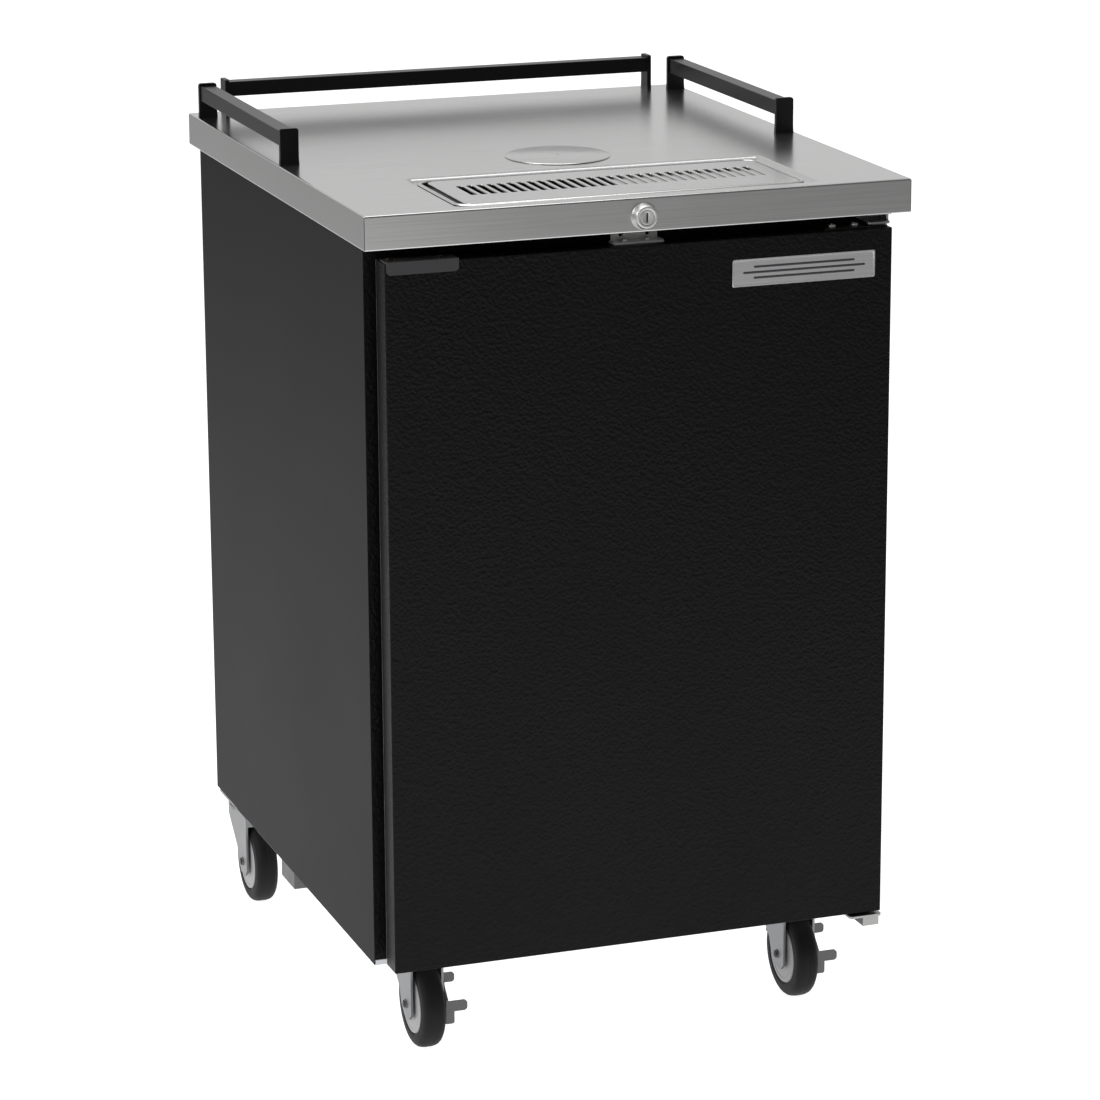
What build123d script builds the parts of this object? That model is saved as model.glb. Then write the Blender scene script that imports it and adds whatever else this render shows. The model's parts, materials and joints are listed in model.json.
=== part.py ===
"""A single-keg kegerator: a foamed steel cabinet on casters under a stainless worktop.

Frame: millimetres, X to the right, Y to the back, Z up. The origin is on the floor, in the
middle of the whole object. The hinged door is at the front (-Y), the machine space at the back.
"""
import os
from math import cos, radians, sin

from build123d import *

# ---------------------------------------------------------------- driving dimensions
# Overall
worktop_w = 610.0
worktop_d = 696.0
worktop_h = 36.5
cabinet_h = 792.5
caster_h = 121.0
lock_proud = 10.0

# Sheet metal and insulation
sheet_t = 1.2
panel_t = 1.0
base_t = 1.5
foam_side = 40.0
foam_floor = 45.0
foam_top = 44.0
foam_back = 40.0
machine_d = 160.0

# Cabinet set back from the worktop's edges
side_inset = 11.0
front_inset = 43.0
back_inset = 6.0
frame_strip_t = 2.0
front_lip_h = 6.0

# Worktop details
flange_w = 14.0
corner_r = 1.2
recess_depth = 3.0
recess_front = 20.0
recess_back = 190.0
recess_left = 199.0
recess_right = 205.0
tray_left = 191.0
tray_right = 193.5
tray_front = 32.0
tray_back = 173.5
tray_corner_r = 14.0
tray_rim = 5.0
tray_depth = 22.0
tray_t = 1.0
grille_left_gap = 7.0
grille_gap = 1.0
grille_t = 1.0
grille_corner_r = 11.0
slot_count = 30
slot_pitch = 11.24
slot_w = 6.4
slot_len = 54.0
slot_front = 81.0
blade_tilt = 38.0
tower_y = 267.0
tower_hole_d = 80.0
tower_well = 84.0
tower_sleeve_t = 2.0
cover_d = 116.0
cover_t = 1.5
cover_lip_h = 8.0
drain_x = 150.0
drain_d = 16.0
drain_bore = 12.0

# Guard rails
rail_h = 40.0
rail_bar_w = 18.0
rail_bar_h = 17.0
rail_bar_drop = 3.0
rail_post_w = 21.0
rail_foot_w = 22.0
rail_foot_h = 8.0
rail_post_t = 5.0
rail_side_front = 317.0
rail_side_back = 661.0
rail_side_inset = 13.5
rail_back_inset = 12.0
rail_back_end = 39.0

# Door
door_w = worktop_w - 42.5
door_h = 774.0
door_t = 30.0
door_top_gap = 15.0
door_edge_r = 1.5
door_skin_t = 1.0
door_liner_t = 1.0
door_plateau = 8.0
door_plateau_inset = 30.0
gasket_inset = 12.0
gasket_w = 12.0
clearance = 0.3
handle_w = 78.0
handle_h = 11.5
handle_left = 1.5
handle_proud = 2.0
handle_top_d = 20.0
handle_t = 2.0
badge_w = 164.0
badge_h = 29.5
badge_t = 1.0
badge_right = 20.0
badge_drop = 22.5

# Hinges
hinge_x = door_w / 2 - 10.75
hinge_y = 21.0
hinge_pin_d = 8.0
pin_fit = 0.05
hinge_bracket_t = 2.5
hinge_bracket_w = 27.0
hinge_plate_t = 1.5
hinge_pin_depth = 18.0
bottom_bracket_h = 13.0
bottom_bracket_w = 38.0
bottom_bracket_d = 75.0

# Lock
lock_drop = 20.0
lock_base_d = 29.0
lock_face_d = 24.0
lock_barrel_d = 19.0
lock_plug_d = 16.0
lock_cam_t = 2.5
lock_cam_w = 9.0
lock_cam_len = 25.5
cam_bolt_h = 2.0
cam_to_tray = 1.3
lock_barrel_len = tray_front - tray_t - sheet_t - lock_cam_t - cam_bolt_h - cam_to_tray
key_slot_w = 2.2
key_slot_h = 10.0
key_slot_depth = 4.0
lock_pocket_w = 40.0
strike_w = 57.0
strike_lip_w = 52.0
strike_t = 2.0
strike_lip_h = 11.0
strike_lip_gap = 1.8

# Casters
wheel_d = 100.0
wheel_w = 27.0
hub_d = 68.0
hub_edge_break = 1.2
hub_boss_d = 20.0
boss_gap = 0.6
tyre_shoulder_r = 6.0
axle_d = 8.0
axle_head_d = 10.0
axle_head_t = 1.6
caster_trail = 40.0
fork_gap = 3.0
fork_t = 2.5
fork_lip_h = 7.0
fork_crown_r = 22.0
fork_leg_front = 19.0
fork_leg_under = 15.0
kingpin_d = 10.0
caster_plate_w = 52.0
caster_plate_d = 72.0
caster_plate_t = 3.0
race_d = 40.0
race_h = 7.0
crown_t = 5.0
crown_gap = 0.4
kingpin_nut_d = 17.0
kingpin_nut_h = 6.0
front_caster_inset = 84.0
front_caster_shift = -3.0
front_caster_y = 135.0
rear_caster_inset = 37.0
rear_caster_y = 647.0
brake_t = 2.5
brake_tab = 22.0
brake_release_tab = 13.0
brake_toe = 7.0
brake_front = 26.0
brake_head_gap = 3.0
brake_pivot = (5.0, 18.0)
brake_shoe_gap = 2.2
brake_shoe_angle = 15.0
tray_box_front = 368.0
tray_box_d = 53.0
tray_box_w = 110.0
tray_box_h = 25.0
tray_shelf_d = 104.0
tray_shelf_drop = 6.0
tray_sheet_t = 1.2
evap_sheet_t = 1.2
evap_slot_count = 9
evap_slot_pitch = 12.0
evap_slot_w = 6.0
evap_slot_margin = 20.0
evap_bar_w = 10.0
evap_bar_back = 26.0
evap_bar_t = 2.0
evap_coil_h = 60.0
evap_coil_d = 70.0
evap_coil_gap = 12.0
evap_fan_back = 12.0
knob_d = 34.0
knob_depth = 16.0
knob_grip = 6.0
knob_stem_d = 6.0
knob_from_end = 55.0
compressor_lift = 10.0
compressor_inset = 130.0
compressor_foot_t = 4.0
cond_inset = 30.0
cond_lift = 20.0
cond_gap = 12.0
cond_shroud_d = 40.0
cond_fan_gap = 8.0
fan_spindle_d = 4.0

# Refrigeration
compressor_d = 132.0
compressor_w = 150.0
compressor_h = 170.0
evap_w = 400.0
evap_d = 140.0
evap_h = 90.0
evap_fan_d = 72.0
cond_w = 220.0
cond_h = 210.0
cond_d = 36.0
cond_fan_d = 170.0
pipe_d = 8.0

# ---------------------------------------------------------------- derived places
top_z = caster_h + cabinet_h + worktop_h
under_z = top_z - worktop_h
base_z = caster_h
front_y = -(worktop_d + lock_proud) / 2 + lock_proud
back_y = front_y + worktop_d
half_w = worktop_w / 2
front_caster_x = half_w - front_caster_inset
rear_caster_x = half_w - rear_caster_inset
cab_x = half_w - side_inset
cab_front = front_y + front_inset
cab_back = back_y - back_inset

shell_x = cab_x - panel_t
liner_x = shell_x - foam_side
floor_z = base_z + base_t + foam_floor
ceiling_z = under_z - foam_top
bulkhead_y = cab_back - machine_d
foam_front = cab_front + frame_strip_t
liner_back = bulkhead_y - panel_t - foam_back
cavity_x = liner_x - panel_t
cavity_floor = floor_z + panel_t
cavity_top = ceiling_z - panel_t
cavity_back = liner_back - panel_t

door_top = under_z - door_top_gap
door_bottom = door_top - door_h
door_back = front_y + door_t
door_half = door_w / 2
axis_y = front_y + hinge_y
tower_at = front_y + tower_y
tray_x0 = -tray_left
tray_x1 = tray_right
tray_y0 = front_y + tray_front
tray_y1 = front_y + tray_back
tray_rim_z = top_z - recess_depth
wheel_r = wheel_d / 2
lock_z = top_z - lock_drop


# ---------------------------------------------------------------- helpers
def block(x0, x1, y0, y1, z0, z1):
    """A square-edged block between two opposite corners."""
    return Pos((x0 + x1) / 2, (y0 + y1) / 2, (z0 + z1) / 2) * Box(x1 - x0, y1 - y0, z1 - z0)


def rod_z(x, y, z0, z1, d):
    """An upright cylinder."""
    return Pos(x, y, (z0 + z1) / 2) * Cylinder(d / 2, z1 - z0)


def rod_x(x0, x1, y, z, d):
    """A cylinder along X."""
    return Pos((x0 + x1) / 2, y, z) * Rot(0, 90, 0) * Cylinder(d / 2, x1 - x0)


def rod_y(x, y0, y1, z, d):
    """A cylinder along Y."""
    return Pos(x, (y0 + y1) / 2, z) * Rot(90, 0, 0) * Cylinder(d / 2, y1 - y0)


def plate_z(x0, x1, y0, y1, z0, z1, r):
    """A flat plate with rounded corners in plan."""
    outline = Pos((x0 + x1) / 2, (y0 + y1) / 2, z0) * RectangleRounded(x1 - x0, y1 - y0, r)
    return extrude(outline, z1 - z0)


def in_yz(points, x0, x1):
    """A closed outline in the YZ plane, made into a plate from x0 to x1."""
    face = make_face(Polyline(*points, close=True))
    return Pos(x0, 0, 0) * extrude(Plane.YZ * face, x1 - x0)


def screw_head_z(x, y, z, d, h):
    """A domed screw head standing on a level face."""
    head = rod_z(x, y, z, z + h, d)
    rim = head.edges().filter_by(GeomType.CIRCLE).group_by(Axis.Z)[-1]
    return fillet(rim, h * 0.6)


def save(name, shape):
    """Write one node."""
    export_step(shape, f"parts/{name}.step")


# ---------------------------------------------------------------- worktop
def make_worktop():
    """Folded stainless pan: top, four aprons, return flanges, and the stamped tray recess."""
    body = block(-half_w, half_w, front_y, back_y, under_z, top_z)
    body = fillet(body.edges().filter_by(Axis.Z), corner_r)
    body = fillet(body.edges().group_by(Axis.Z)[-1], corner_r)
    inner_x = half_w - sheet_t
    body -= block(-inner_x, inner_x, front_y + sheet_t, back_y - sheet_t, under_z + sheet_t, top_z - sheet_t)
    open_x = half_w - flange_w
    body -= block(-open_x, open_x, front_y + flange_w, back_y - back_inset - flange_w, under_z, top_z - sheet_t)
    recess = (-recess_left, recess_right, front_y + recess_front, front_y + recess_back)
    body -= plate_z(*recess, tray_rim_z, top_z, 3.0)
    dish = plate_z(
        recess[0] - sheet_t, recess[1] + sheet_t, recess[2] - sheet_t, recess[3] + sheet_t,
        tray_rim_z - sheet_t, top_z - sheet_t, 4.2,
    )
    dish -= plate_z(*recess, tray_rim_z, top_z, 3.0)
    body += dish
    body -= plate_z(
        tray_x0 - tray_t, tray_x1 + tray_t, tray_y0 - tray_t, tray_y1 + tray_t,
        tray_rim_z - 2 * sheet_t, top_z, tray_corner_r + tray_t,
    )
    body -= rod_z(0, tower_at, top_z - 2 * sheet_t, top_z, tower_hole_d)
    body -= rod_y(0, front_y - 1, front_y + 2 * sheet_t, lock_z, lock_barrel_d)
    body -= rod_y(drain_x, back_y - 2 * sheet_t, back_y + 1, drain_height(), drain_d)
    body -= block(-lock_pocket_w, lock_pocket_w, front_y + sheet_t, front_y + flange_w, under_z, under_z + sheet_t)
    return body


def drain_height():
    """The drain tube's axis, just above the tray's floor."""
    return tray_rim_z - tray_depth + drain_d / 2 - tray_t


def make_worktop_core():
    """Boards that stiffen the worktop, laid round the tray, the tower well and the lock."""
    z0 = under_z + sheet_t
    z1 = top_z - sheet_t
    left = -half_w + sheet_t
    right = half_w - sheet_t
    front = front_y + sheet_t
    rear = back_y - sheet_t
    void_left = -recess_left - 3.0
    void_right = recess_right + 3.0
    void_front = front_y + recess_front - 4.0
    void_back = front_y + recess_back + 3.0
    well_front = tower_at - tower_well / 2
    well_back = tower_at + tower_well / 2
    channel_left = drain_x - drain_d / 2 - 1.0
    channel_right = drain_x + drain_d / 2 + 1.0
    boards = [
        (left, void_left, front, void_back),
        (void_right, right, front, void_back),
        (void_left, -lock_pocket_w, front, void_front),
        (lock_pocket_w, void_right, front, void_front),
        (left, -tower_well / 2, void_back, well_back),
        (tower_well / 2, channel_left, void_back, well_back),
        (-tower_well / 2, tower_well / 2, void_back, well_front),
        (left, channel_left, well_back, rear),
        (channel_right, right, void_back, rear),
    ]
    return [block(*board, z0, z1) for board in boards]


def rail_outline():
    """One rail post seen along its bar: a plate that widens at its foot, with rounded shoulders."""
    top = rail_post_w / 2
    foot = rail_foot_w / 2
    points = [(-foot, 0), (foot, 0), (top, rail_foot_h), (top, rail_h), (-top, rail_h), (-top, rail_foot_h)]
    face = make_face(Polyline(*points, close=True))
    shoulders = face.vertices().group_by(Axis.Y)[-1]
    return fillet(shoulders, 3.0)


def make_rail(length):
    """A guard rail along Y, centred on the origin, standing on Z = 0."""
    post = extrude(Plane.XZ * rail_outline(), rail_post_t)
    front = Pos(0, -length / 2 + rail_post_t, 0) * post
    rear = Pos(0, length / 2, 0) * post
    bar_top = rail_h - rail_bar_drop
    bar = block(
        -rail_bar_w / 2, rail_bar_w / 2, -length / 2 + rail_post_t, length / 2 - rail_post_t,
        bar_top - rail_bar_h, bar_top,
    )
    bar = fillet(bar.edges().filter_by(Axis.Y), 1.0)
    return front + bar + rear


def make_rails():
    """Two side rails and the back rail."""
    side_len = rail_side_back - rail_side_front
    side_mid = front_y + (rail_side_back + rail_side_front) / 2
    side_x = half_w - rail_side_inset
    side = make_rail(side_len)
    back_len = worktop_w - 2 * rail_back_end
    back = Rot(0, 0, 90) * make_rail(back_len)
    return {
        "rail_left": Pos(-side_x, side_mid, top_z) * side,
        "rail_right": Pos(side_x, side_mid, top_z) * side,
        "rail_back": Pos(0, back_y - rail_back_inset, top_z) * back,
    }


# ---------------------------------------------------------------- drip tray, grille, tower hole
def make_drip_pan():
    """The basin under the grille, with a thin rim that lies on the recess."""
    rim_z = tray_rim_z + tray_t
    floor = tray_rim_z - tray_depth
    outer = plate_z(
        tray_x0 - tray_t, tray_x1 + tray_t, tray_y0 - tray_t, tray_y1 + tray_t,
        floor - tray_t, rim_z, tray_corner_r + tray_t,
    )
    rim = plate_z(
        tray_x0 - tray_rim, tray_x1 + tray_rim, tray_y0 - tray_rim, tray_y1 + tray_rim,
        tray_rim_z, rim_z, tray_corner_r + tray_rim,
    )
    basin = plate_z(tray_x0, tray_x1, tray_y0, tray_y1, floor, rim_z + 1, tray_corner_r)
    pan = outer + rim - basin
    ledge = plate_z(tray_x0, tray_x1, tray_y0, tray_y1, grille_seat_z() - tray_t, grille_seat_z(), tray_corner_r)
    inset = 12.0
    ledge -= plate_z(
        tray_x0 + inset, tray_x1 - inset, tray_y0 + inset, tray_y1 - inset,
        grille_seat_z() - 2 * tray_t, grille_seat_z() + 1, tray_corner_r,
    )
    pan += ledge
    pan -= rod_y(drain_x, tray_y1 - 2, tray_y1 + 2 * tray_t, drain_height(), drain_bore)
    return pan


def grille_seat_z():
    """The level that the grille's turned-down edge rests on."""
    return top_z - 1.0 - grille_t - 4.0


def make_drain_tube():
    """A straight tube from the tray's back wall to the worktop's back apron."""
    y0 = tray_y1 + tray_t
    tube = rod_y(drain_x, y0, back_y, drain_height(), drain_d)
    return tube - rod_y(drain_x, y0 - 1, back_y + 1, drain_height(), drain_bore)


def make_grille():
    """The louvred plate: blades lean away from the middle on each half."""
    x0 = tray_x0 + grille_left_gap
    x1 = tray_x1 - grille_gap
    y0 = tray_y0 + grille_gap
    y1 = tray_y1 - grille_gap
    z1 = top_z - 1.0
    z0 = z1 - grille_t
    plate = plate_z(x0, x1, y0, y1, z0, z1, grille_corner_r)
    skirt = plate_z(x0, x1, y0, y1, grille_seat_z(), z0, grille_corner_r)
    skirt -= plate_z(
        x0 + grille_t, x1 - grille_t, y0 + grille_t, y1 - grille_t,
        grille_seat_z(), z0, grille_corner_r - grille_t,
    )
    plate += skirt
    middle = (x0 + x1) / 2
    slot_y = front_y + slot_front + slot_len / 2
    blade_w = slot_w * 1.1
    for i in range(slot_count):
        x = middle + (i - (slot_count - 1) / 2) * slot_pitch
        plate -= block(x - slot_w / 2, x + slot_w / 2, slot_y - slot_len / 2, slot_y + slot_len / 2, z0 - 1, z1)
        side = -1 if x < middle else 1
        hang = Pos(side * slot_w / 2, 0, -grille_t / 2) * Rot(0, -side * blade_tilt, 0)
        blade = hang * Pos(-side * blade_w / 2, 0, 0) * Box(blade_w, slot_len, 0.8)
        plate += Pos(x, slot_y, z1) * blade
    return plate


def make_tower_cover():
    """A thin disc with a locating lip, over the hole where a beer tower would stand."""
    disc = rod_z(0, tower_at, top_z, top_z + cover_t, cover_d)
    disc = fillet(disc.edges().filter_by(GeomType.CIRCLE).group_by(Axis.Z)[-1], 0.7)
    lip_d = tower_hole_d - 2 * tower_sleeve_t - 1.0
    lip = rod_z(0, tower_at, top_z - cover_lip_h, top_z, lip_d)
    lip -= rod_z(0, tower_at, top_z - cover_lip_h, top_z, lip_d - 3.0)
    return disc + lip - rod_z(0, tower_at, top_z - 1, top_z + 2 * cover_t, 3.0)


def make_tower_sleeve():
    """The tube that lines the well from the worktop down to the cavity's ceiling."""
    sleeve = rod_z(0, tower_at, cavity_top, top_z - sheet_t, tower_hole_d)
    return sleeve - rod_z(0, tower_at, cavity_top, top_z - sheet_t, tower_hole_d - 2 * tower_sleeve_t)


# ---------------------------------------------------------------- cabinet
def make_side_panel(side):
    """One painted side of the cabinet; side is -1 on the left and 1 on the right."""
    x0, x1 = sorted((side * cab_x, side * shell_x))
    return block(x0, x1, cab_front, cab_back, base_z, under_z)


def make_back_panel():
    """The rear cover of the machine space, with louvre slots and the cord gland's hole."""
    panel = block(-shell_x, shell_x, cab_back - panel_t, cab_back, base_z + base_t, under_z)
    for row in range(12):
        for column in (-1, 0, 1):
            z = base_z + 60 + row * 22
            x = column * 165
            panel -= block(x - 65, x + 65, cab_back - 2, cab_back + 1, z, z + 6)
    for row in range(6):
        z = under_z - 60 - row * 22
        panel -= block(-100, 100, cab_back - 2, cab_back + 1, z, z + 6)
    panel -= rod_y(gland_x(), cab_back - 2, cab_back + 1, gland_z(), 14.0)
    return panel


def gland_x():
    return -cab_x + 40.0


def gland_z():
    return base_z + 30.0


def make_cord_gland():
    """The rubber bush in the back panel where the mains lead enters."""
    bush = rod_y(gland_x(), cab_back - 6, cab_back, gland_z(), 14.0)
    flange = rod_y(gland_x(), cab_back, cab_back + 4, gland_z(), 22.0)
    flange = fillet(flange.edges().filter_by(GeomType.CIRCLE).group_by(Axis.Y)[-1], 1.5)
    inner = rod_y(gland_x(), cab_back - 9, cab_back - panel_t, gland_z(), 20.0)
    bush = bush + flange + inner
    return bush - rod_y(gland_x(), cab_back - 10, cab_back + 5, gland_z(), 8.0)


def make_base_pan():
    """The floor of the cabinet, with a turned-up front lip."""
    pan = block(-shell_x, shell_x, cab_front, cab_back, base_z, base_z + base_t)
    lip = block(-shell_x, shell_x, cab_front - base_t, cab_front, base_z, base_z + front_lip_h)
    return pan + lip


def make_front_frame():
    """The four strips that close the wall between the outer skin and the liner."""
    y0 = cab_front
    y1 = foam_front
    z0 = base_z + base_t
    return [
        block(-shell_x, -cavity_x, y0, y1, z0, under_z),
        block(cavity_x, shell_x, y0, y1, z0, under_z),
        block(-cavity_x, cavity_x, y0, y1, z0, cavity_floor),
        block(-cavity_x, cavity_x, y0, y1, cavity_top, under_z),
    ]


def make_wall_foam():
    """Insulation slabs: floor, two sides, back, and four round the tower well in the ceiling."""
    y0 = foam_front
    y1 = bulkhead_y - panel_t
    side_top = under_z
    well = tower_well / 2
    slabs = [
        block(-shell_x, shell_x, y0, y1, base_z + base_t, floor_z),
        block(-shell_x, -liner_x, y0, y1, floor_z, side_top),
        block(liner_x, shell_x, y0, y1, floor_z, side_top),
        block(-liner_x, liner_x, liner_back, y1, floor_z, ceiling_z) - suction_hole(),
        block(-liner_x, -well, y0, y1, ceiling_z, under_z),
        block(well, liner_x, y0, y1, ceiling_z, under_z),
        block(-well, well, y0, tower_at - well, ceiling_z, under_z),
        block(-well, well, tower_at + well, y1, ceiling_z, under_z),
    ]
    return slabs


def make_cavity_liner():
    """The food-safe inner skin: floor, two sides, back and ceiling."""
    y0 = foam_front
    ceiling = block(-liner_x, liner_x, y0, liner_back, cavity_top, ceiling_z)
    ceiling -= rod_z(0, tower_at, cavity_top, ceiling_z, tower_hole_d)
    return [
        block(-liner_x, liner_x, y0, liner_back, floor_z, cavity_floor),
        block(-liner_x, -cavity_x, y0, liner_back, cavity_floor, cavity_top),
        block(cavity_x, liner_x, y0, liner_back, cavity_floor, cavity_top),
        block(-cavity_x, cavity_x, cavity_back, liner_back, cavity_floor, cavity_top) - suction_hole(),
        ceiling,
    ]


def make_bulkhead():
    """The metal skin between the foam and the machine space."""
    wall = block(-shell_x, shell_x, bulkhead_y - panel_t, bulkhead_y, base_z + base_t, under_z)
    return wall - suction_hole()


def make_floor_rack():
    """A low wire rack that carries the keg: two bearers with rods across them."""
    z0 = cavity_floor
    rack = [block(s * 150 - 4, s * 150 + 4, cab_front + 20, cavity_back - 15, z0, z0 + 4) for s in (-1, 1)]
    rack = rack[0] + rack[1]
    count = 14
    span = cavity_back - 25 - (cab_front + 30)
    for i in range(count):
        y = cab_front + 30 + span * i / (count - 1)
        rack += rod_x(-200, 200, y, z0 + 6, 5.0)
    return rack


# ---------------------------------------------------------------- refrigeration
def suction_x():
    return evap_w / 2 - 40.0


def suction_z():
    return cavity_top - 30.0


def suction_hole():
    """Clearance through the back wall for the suction line."""
    return rod_y(suction_x(), cavity_back - 2, bulkhead_y + 2, suction_z(), pipe_d + 0.4)


def make_evaporator_cover():
    """The sheet cover under the ceiling that holds the fan and the thermostat."""
    t = evap_sheet_t
    x = evap_w / 2
    y1 = cavity_back
    y0 = y1 - evap_d
    z1 = cavity_top
    z0 = z1 - evap_h
    middle = z0 + evap_h / 2
    cover = block(-x, x, y0, y1, z0, z1)
    cover -= block(-x + t, x - t, y0 + t, y1, z0 + t, z1)
    cover -= rod_y(0, y0 - 1, y0 + 2 * t, middle, evap_fan_d + 6)
    for i in range(evap_slot_count):
        slot_x = -x + 30 + i * evap_slot_pitch
        cover -= block(slot_x, slot_x + evap_slot_w, y0 - 1, y0 + 2 * t, z0 + evap_slot_margin, z1 - evap_slot_margin)
    cover -= rod_y(thermostat_x(), y0 - 1, y0 + 2 * t, middle, knob_stem_d + 0.2)
    bar_front = y0 + evap_bar_back
    bar_back = bar_front + evap_bar_t
    end = evap_fan_d / 2 + 6
    cover += block(-end, end, bar_front, bar_back, middle - evap_bar_w / 2, middle + evap_bar_w / 2)
    for side in (-end, end):
        cover += block(side - 1, side + 1, y0 + t, bar_back, middle - evap_bar_w / 2, middle + evap_bar_w / 2)
    return cover - rod_y(0, bar_front - 1, bar_back + 1, middle, fan_spindle_d + 2 * pin_fit)


def thermostat_x():
    return evap_w / 2 - knob_from_end


def make_fan(diameter, blades, depth):
    """A fan rotor facing -Y about the origin: a hub, pitched blades and a spindle behind."""
    hub = rod_y(0, -depth / 2, depth / 2, 0, diameter * 0.3)
    rotor = hub
    root = diameter * 0.13
    tip = diameter / 2
    for i in range(blades):
        blade = Pos((root + tip) / 2, 0, 0) * Rot(28, 0, 0) * Box(tip - root, 1.6, depth * 1.6)
        rotor += Rot(0, 360 * i / blades, 0) * blade
    return rotor + rod_y(0, 0, depth / 2 + 14, 0, fan_spindle_d)


def make_evaporator_fan():
    y0 = cavity_back - evap_d
    return Pos(0, y0 + evap_fan_back, cavity_top - evap_h / 2) * make_fan(evap_fan_d, 5, 10.0)


def make_thermostat_knob():
    """The temperature knob on the evaporator cover, with its spindle."""
    y0 = cavity_back - evap_d
    z = cavity_top - evap_h / 2
    front = y0 - knob_depth
    half = knob_d / 2 - 2
    knob = rod_y(thermostat_x(), front, y0 - 0.4, z, knob_d)
    knob = fillet(knob.edges().filter_by(GeomType.CIRCLE).group_by(Axis.Y)[0], 2.0)
    knob += block(thermostat_x() - 2.5, thermostat_x() + 2.5, front - knob_grip, front + 1, z - half, z + half)
    return knob + rod_y(thermostat_x(), y0 - 1, y0 + 12, z, knob_stem_d)


def make_coil(width, height, depth, fins):
    """A finned tube block about the origin: fins on four through tubes."""
    coil = None
    for i in range(fins):
        x = -width / 2 + width * (i + 0.5) / fins
        fin = Pos(x, 0, 0) * Box(0.8, depth, height)
        coil = fin if coil is None else coil + fin
    for z in (-height * 0.28, height * 0.28):
        for y in (-depth * 0.22, depth * 0.22):
            coil += rod_x(-width / 2 - 4, width / 2 + 4, y, z, pipe_d)
    return coil


def make_evaporator_coil():
    y = cavity_back - evap_coil_d / 2 - evap_coil_gap
    z = cavity_top - evap_coil_h / 2 - evap_coil_gap
    return Pos(-10, y, z) * make_coil(evap_w - 110, evap_coil_h, evap_coil_d, 26)


def machine_mid():
    return bulkhead_y + (cab_back - bulkhead_y) / 2


def compressor_x():
    return -cab_x + compressor_inset


def make_compressor():
    """Hermetic compressor: a rounded oval shell on two feet bars."""
    z0 = base_z + base_t + compressor_lift
    oval = SlotOverall(compressor_w, compressor_d - 24)
    shell = extrude(Pos(compressor_x(), machine_mid(), z0) * oval, compressor_h)
    shell = fillet(shell.edges().group_by(Axis.Z)[-1], 28)
    feet = block(
        compressor_x() - 85, compressor_x() + 85, machine_mid() - 45, machine_mid() + 45, z0 - compressor_foot_t, z0,
    )
    for sx in (-1, 1):
        for sy in (-1, 1):
            feet += rod_z(compressor_x() + sx * 75, machine_mid() + sy * 35, base_z + base_t, z0 - compressor_foot_t, 18)
    box_x = compressor_x() + compressor_w / 2
    cover = block(box_x - 6, box_x + 18, machine_mid() - 25, machine_mid() + 25, z0 + 50, z0 + 110)
    return shell + feet + cover


def cond_x():
    return cab_x - cond_inset - cond_w / 2


def cond_z():
    return base_z + base_t + cond_lift + cond_h / 2


def make_condenser_coil():
    coil = make_coil(cond_w - 8, cond_h, cond_d, 24)
    return Pos(cond_x(), bulkhead_y + cond_gap + cond_d / 2, cond_z()) * coil


def make_condenser_shroud():
    """Sheet shroud behind the condenser, with the fan ring and the motor's bracket."""
    y0 = bulkhead_y + cond_gap + cond_d + 1
    y1 = y0 + cond_shroud_d
    x0 = cond_x() - cond_w / 2
    x1 = cond_x() + cond_w / 2
    z0 = cond_z() - cond_h / 2
    z1 = cond_z() + cond_h / 2
    shroud = block(x0, x1, y0, y1, z0, z1)
    shroud -= block(x0 + 1.2, x1 - 1.2, y0, y1 - 1.2, z0 + 1.2, z1 - 1.2)
    shroud -= rod_y(cond_x(), y1 - 3, y1 + 1, cond_z(), cond_fan_d + 10)
    for side in (-1, 1):
        foot_x = cond_x() + side * (cond_w / 2 - 10)
        shroud += block(foot_x - 8, foot_x + 8, y0 + 5, y1 - 5, base_z + base_t, z0 + 1.2)
    half = (cond_fan_d + 16) / 2
    bar_y = y1 + 24
    shroud += block(cond_x() - half, cond_x() + half, bar_y, bar_y + 2, cond_z() - 8, cond_z() + 8)
    for side in (-1, 1):
        end = cond_x() + side * half
        shroud += block(end - 1, end + 1, y1 - 1.2, bar_y + 2, cond_z() - 8, cond_z() + 8)
    return shroud - rod_y(cond_x(), bar_y - 1, bar_y + 3, cond_z(), fan_spindle_d + 2 * pin_fit)


def cond_fan_y():
    return bulkhead_y + cond_gap + cond_d + 1 + cond_shroud_d + cond_fan_gap


def make_condenser_fan():
    return Pos(cond_x(), cond_fan_y(), cond_z()) * make_fan(cond_fan_d, 5, 14.0)


def pipe(points, bend):
    """A round tube's solid along straight runs joined by tangent bends."""
    path = FilletPolyline(*points, radius=bend)
    start = Plane(origin=path @ 0, z_dir=path % 0)
    return sweep(start * Circle(pipe_d / 2), path=path)


def make_refrigerant_lines():
    """The suction line back from the evaporator, and the discharge line to the condenser."""
    y = machine_mid()
    top = base_z + base_t + compressor_lift + compressor_h
    suction = pipe([
        (suction_x(), cavity_back - 8, suction_z()),
        (suction_x(), y, suction_z()),
        (suction_x(), y, top + 160),
        (compressor_x() - 30, y, top + 160),
        (compressor_x() - 30, y, top),
    ], 25.0)
    front = bulkhead_y + cond_gap + cond_d / 2
    discharge = pipe([
        (compressor_x() + 30, y, top),
        (compressor_x() + 30, y, top + 90),
        (cond_x() - 40, y, top + 90),
        (cond_x() - 40, front, top + 90),
        (cond_x() - 40, front, cond_z() + cond_h / 2 + 1),
    ], 18.0)
    return [suction, discharge]


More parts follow.
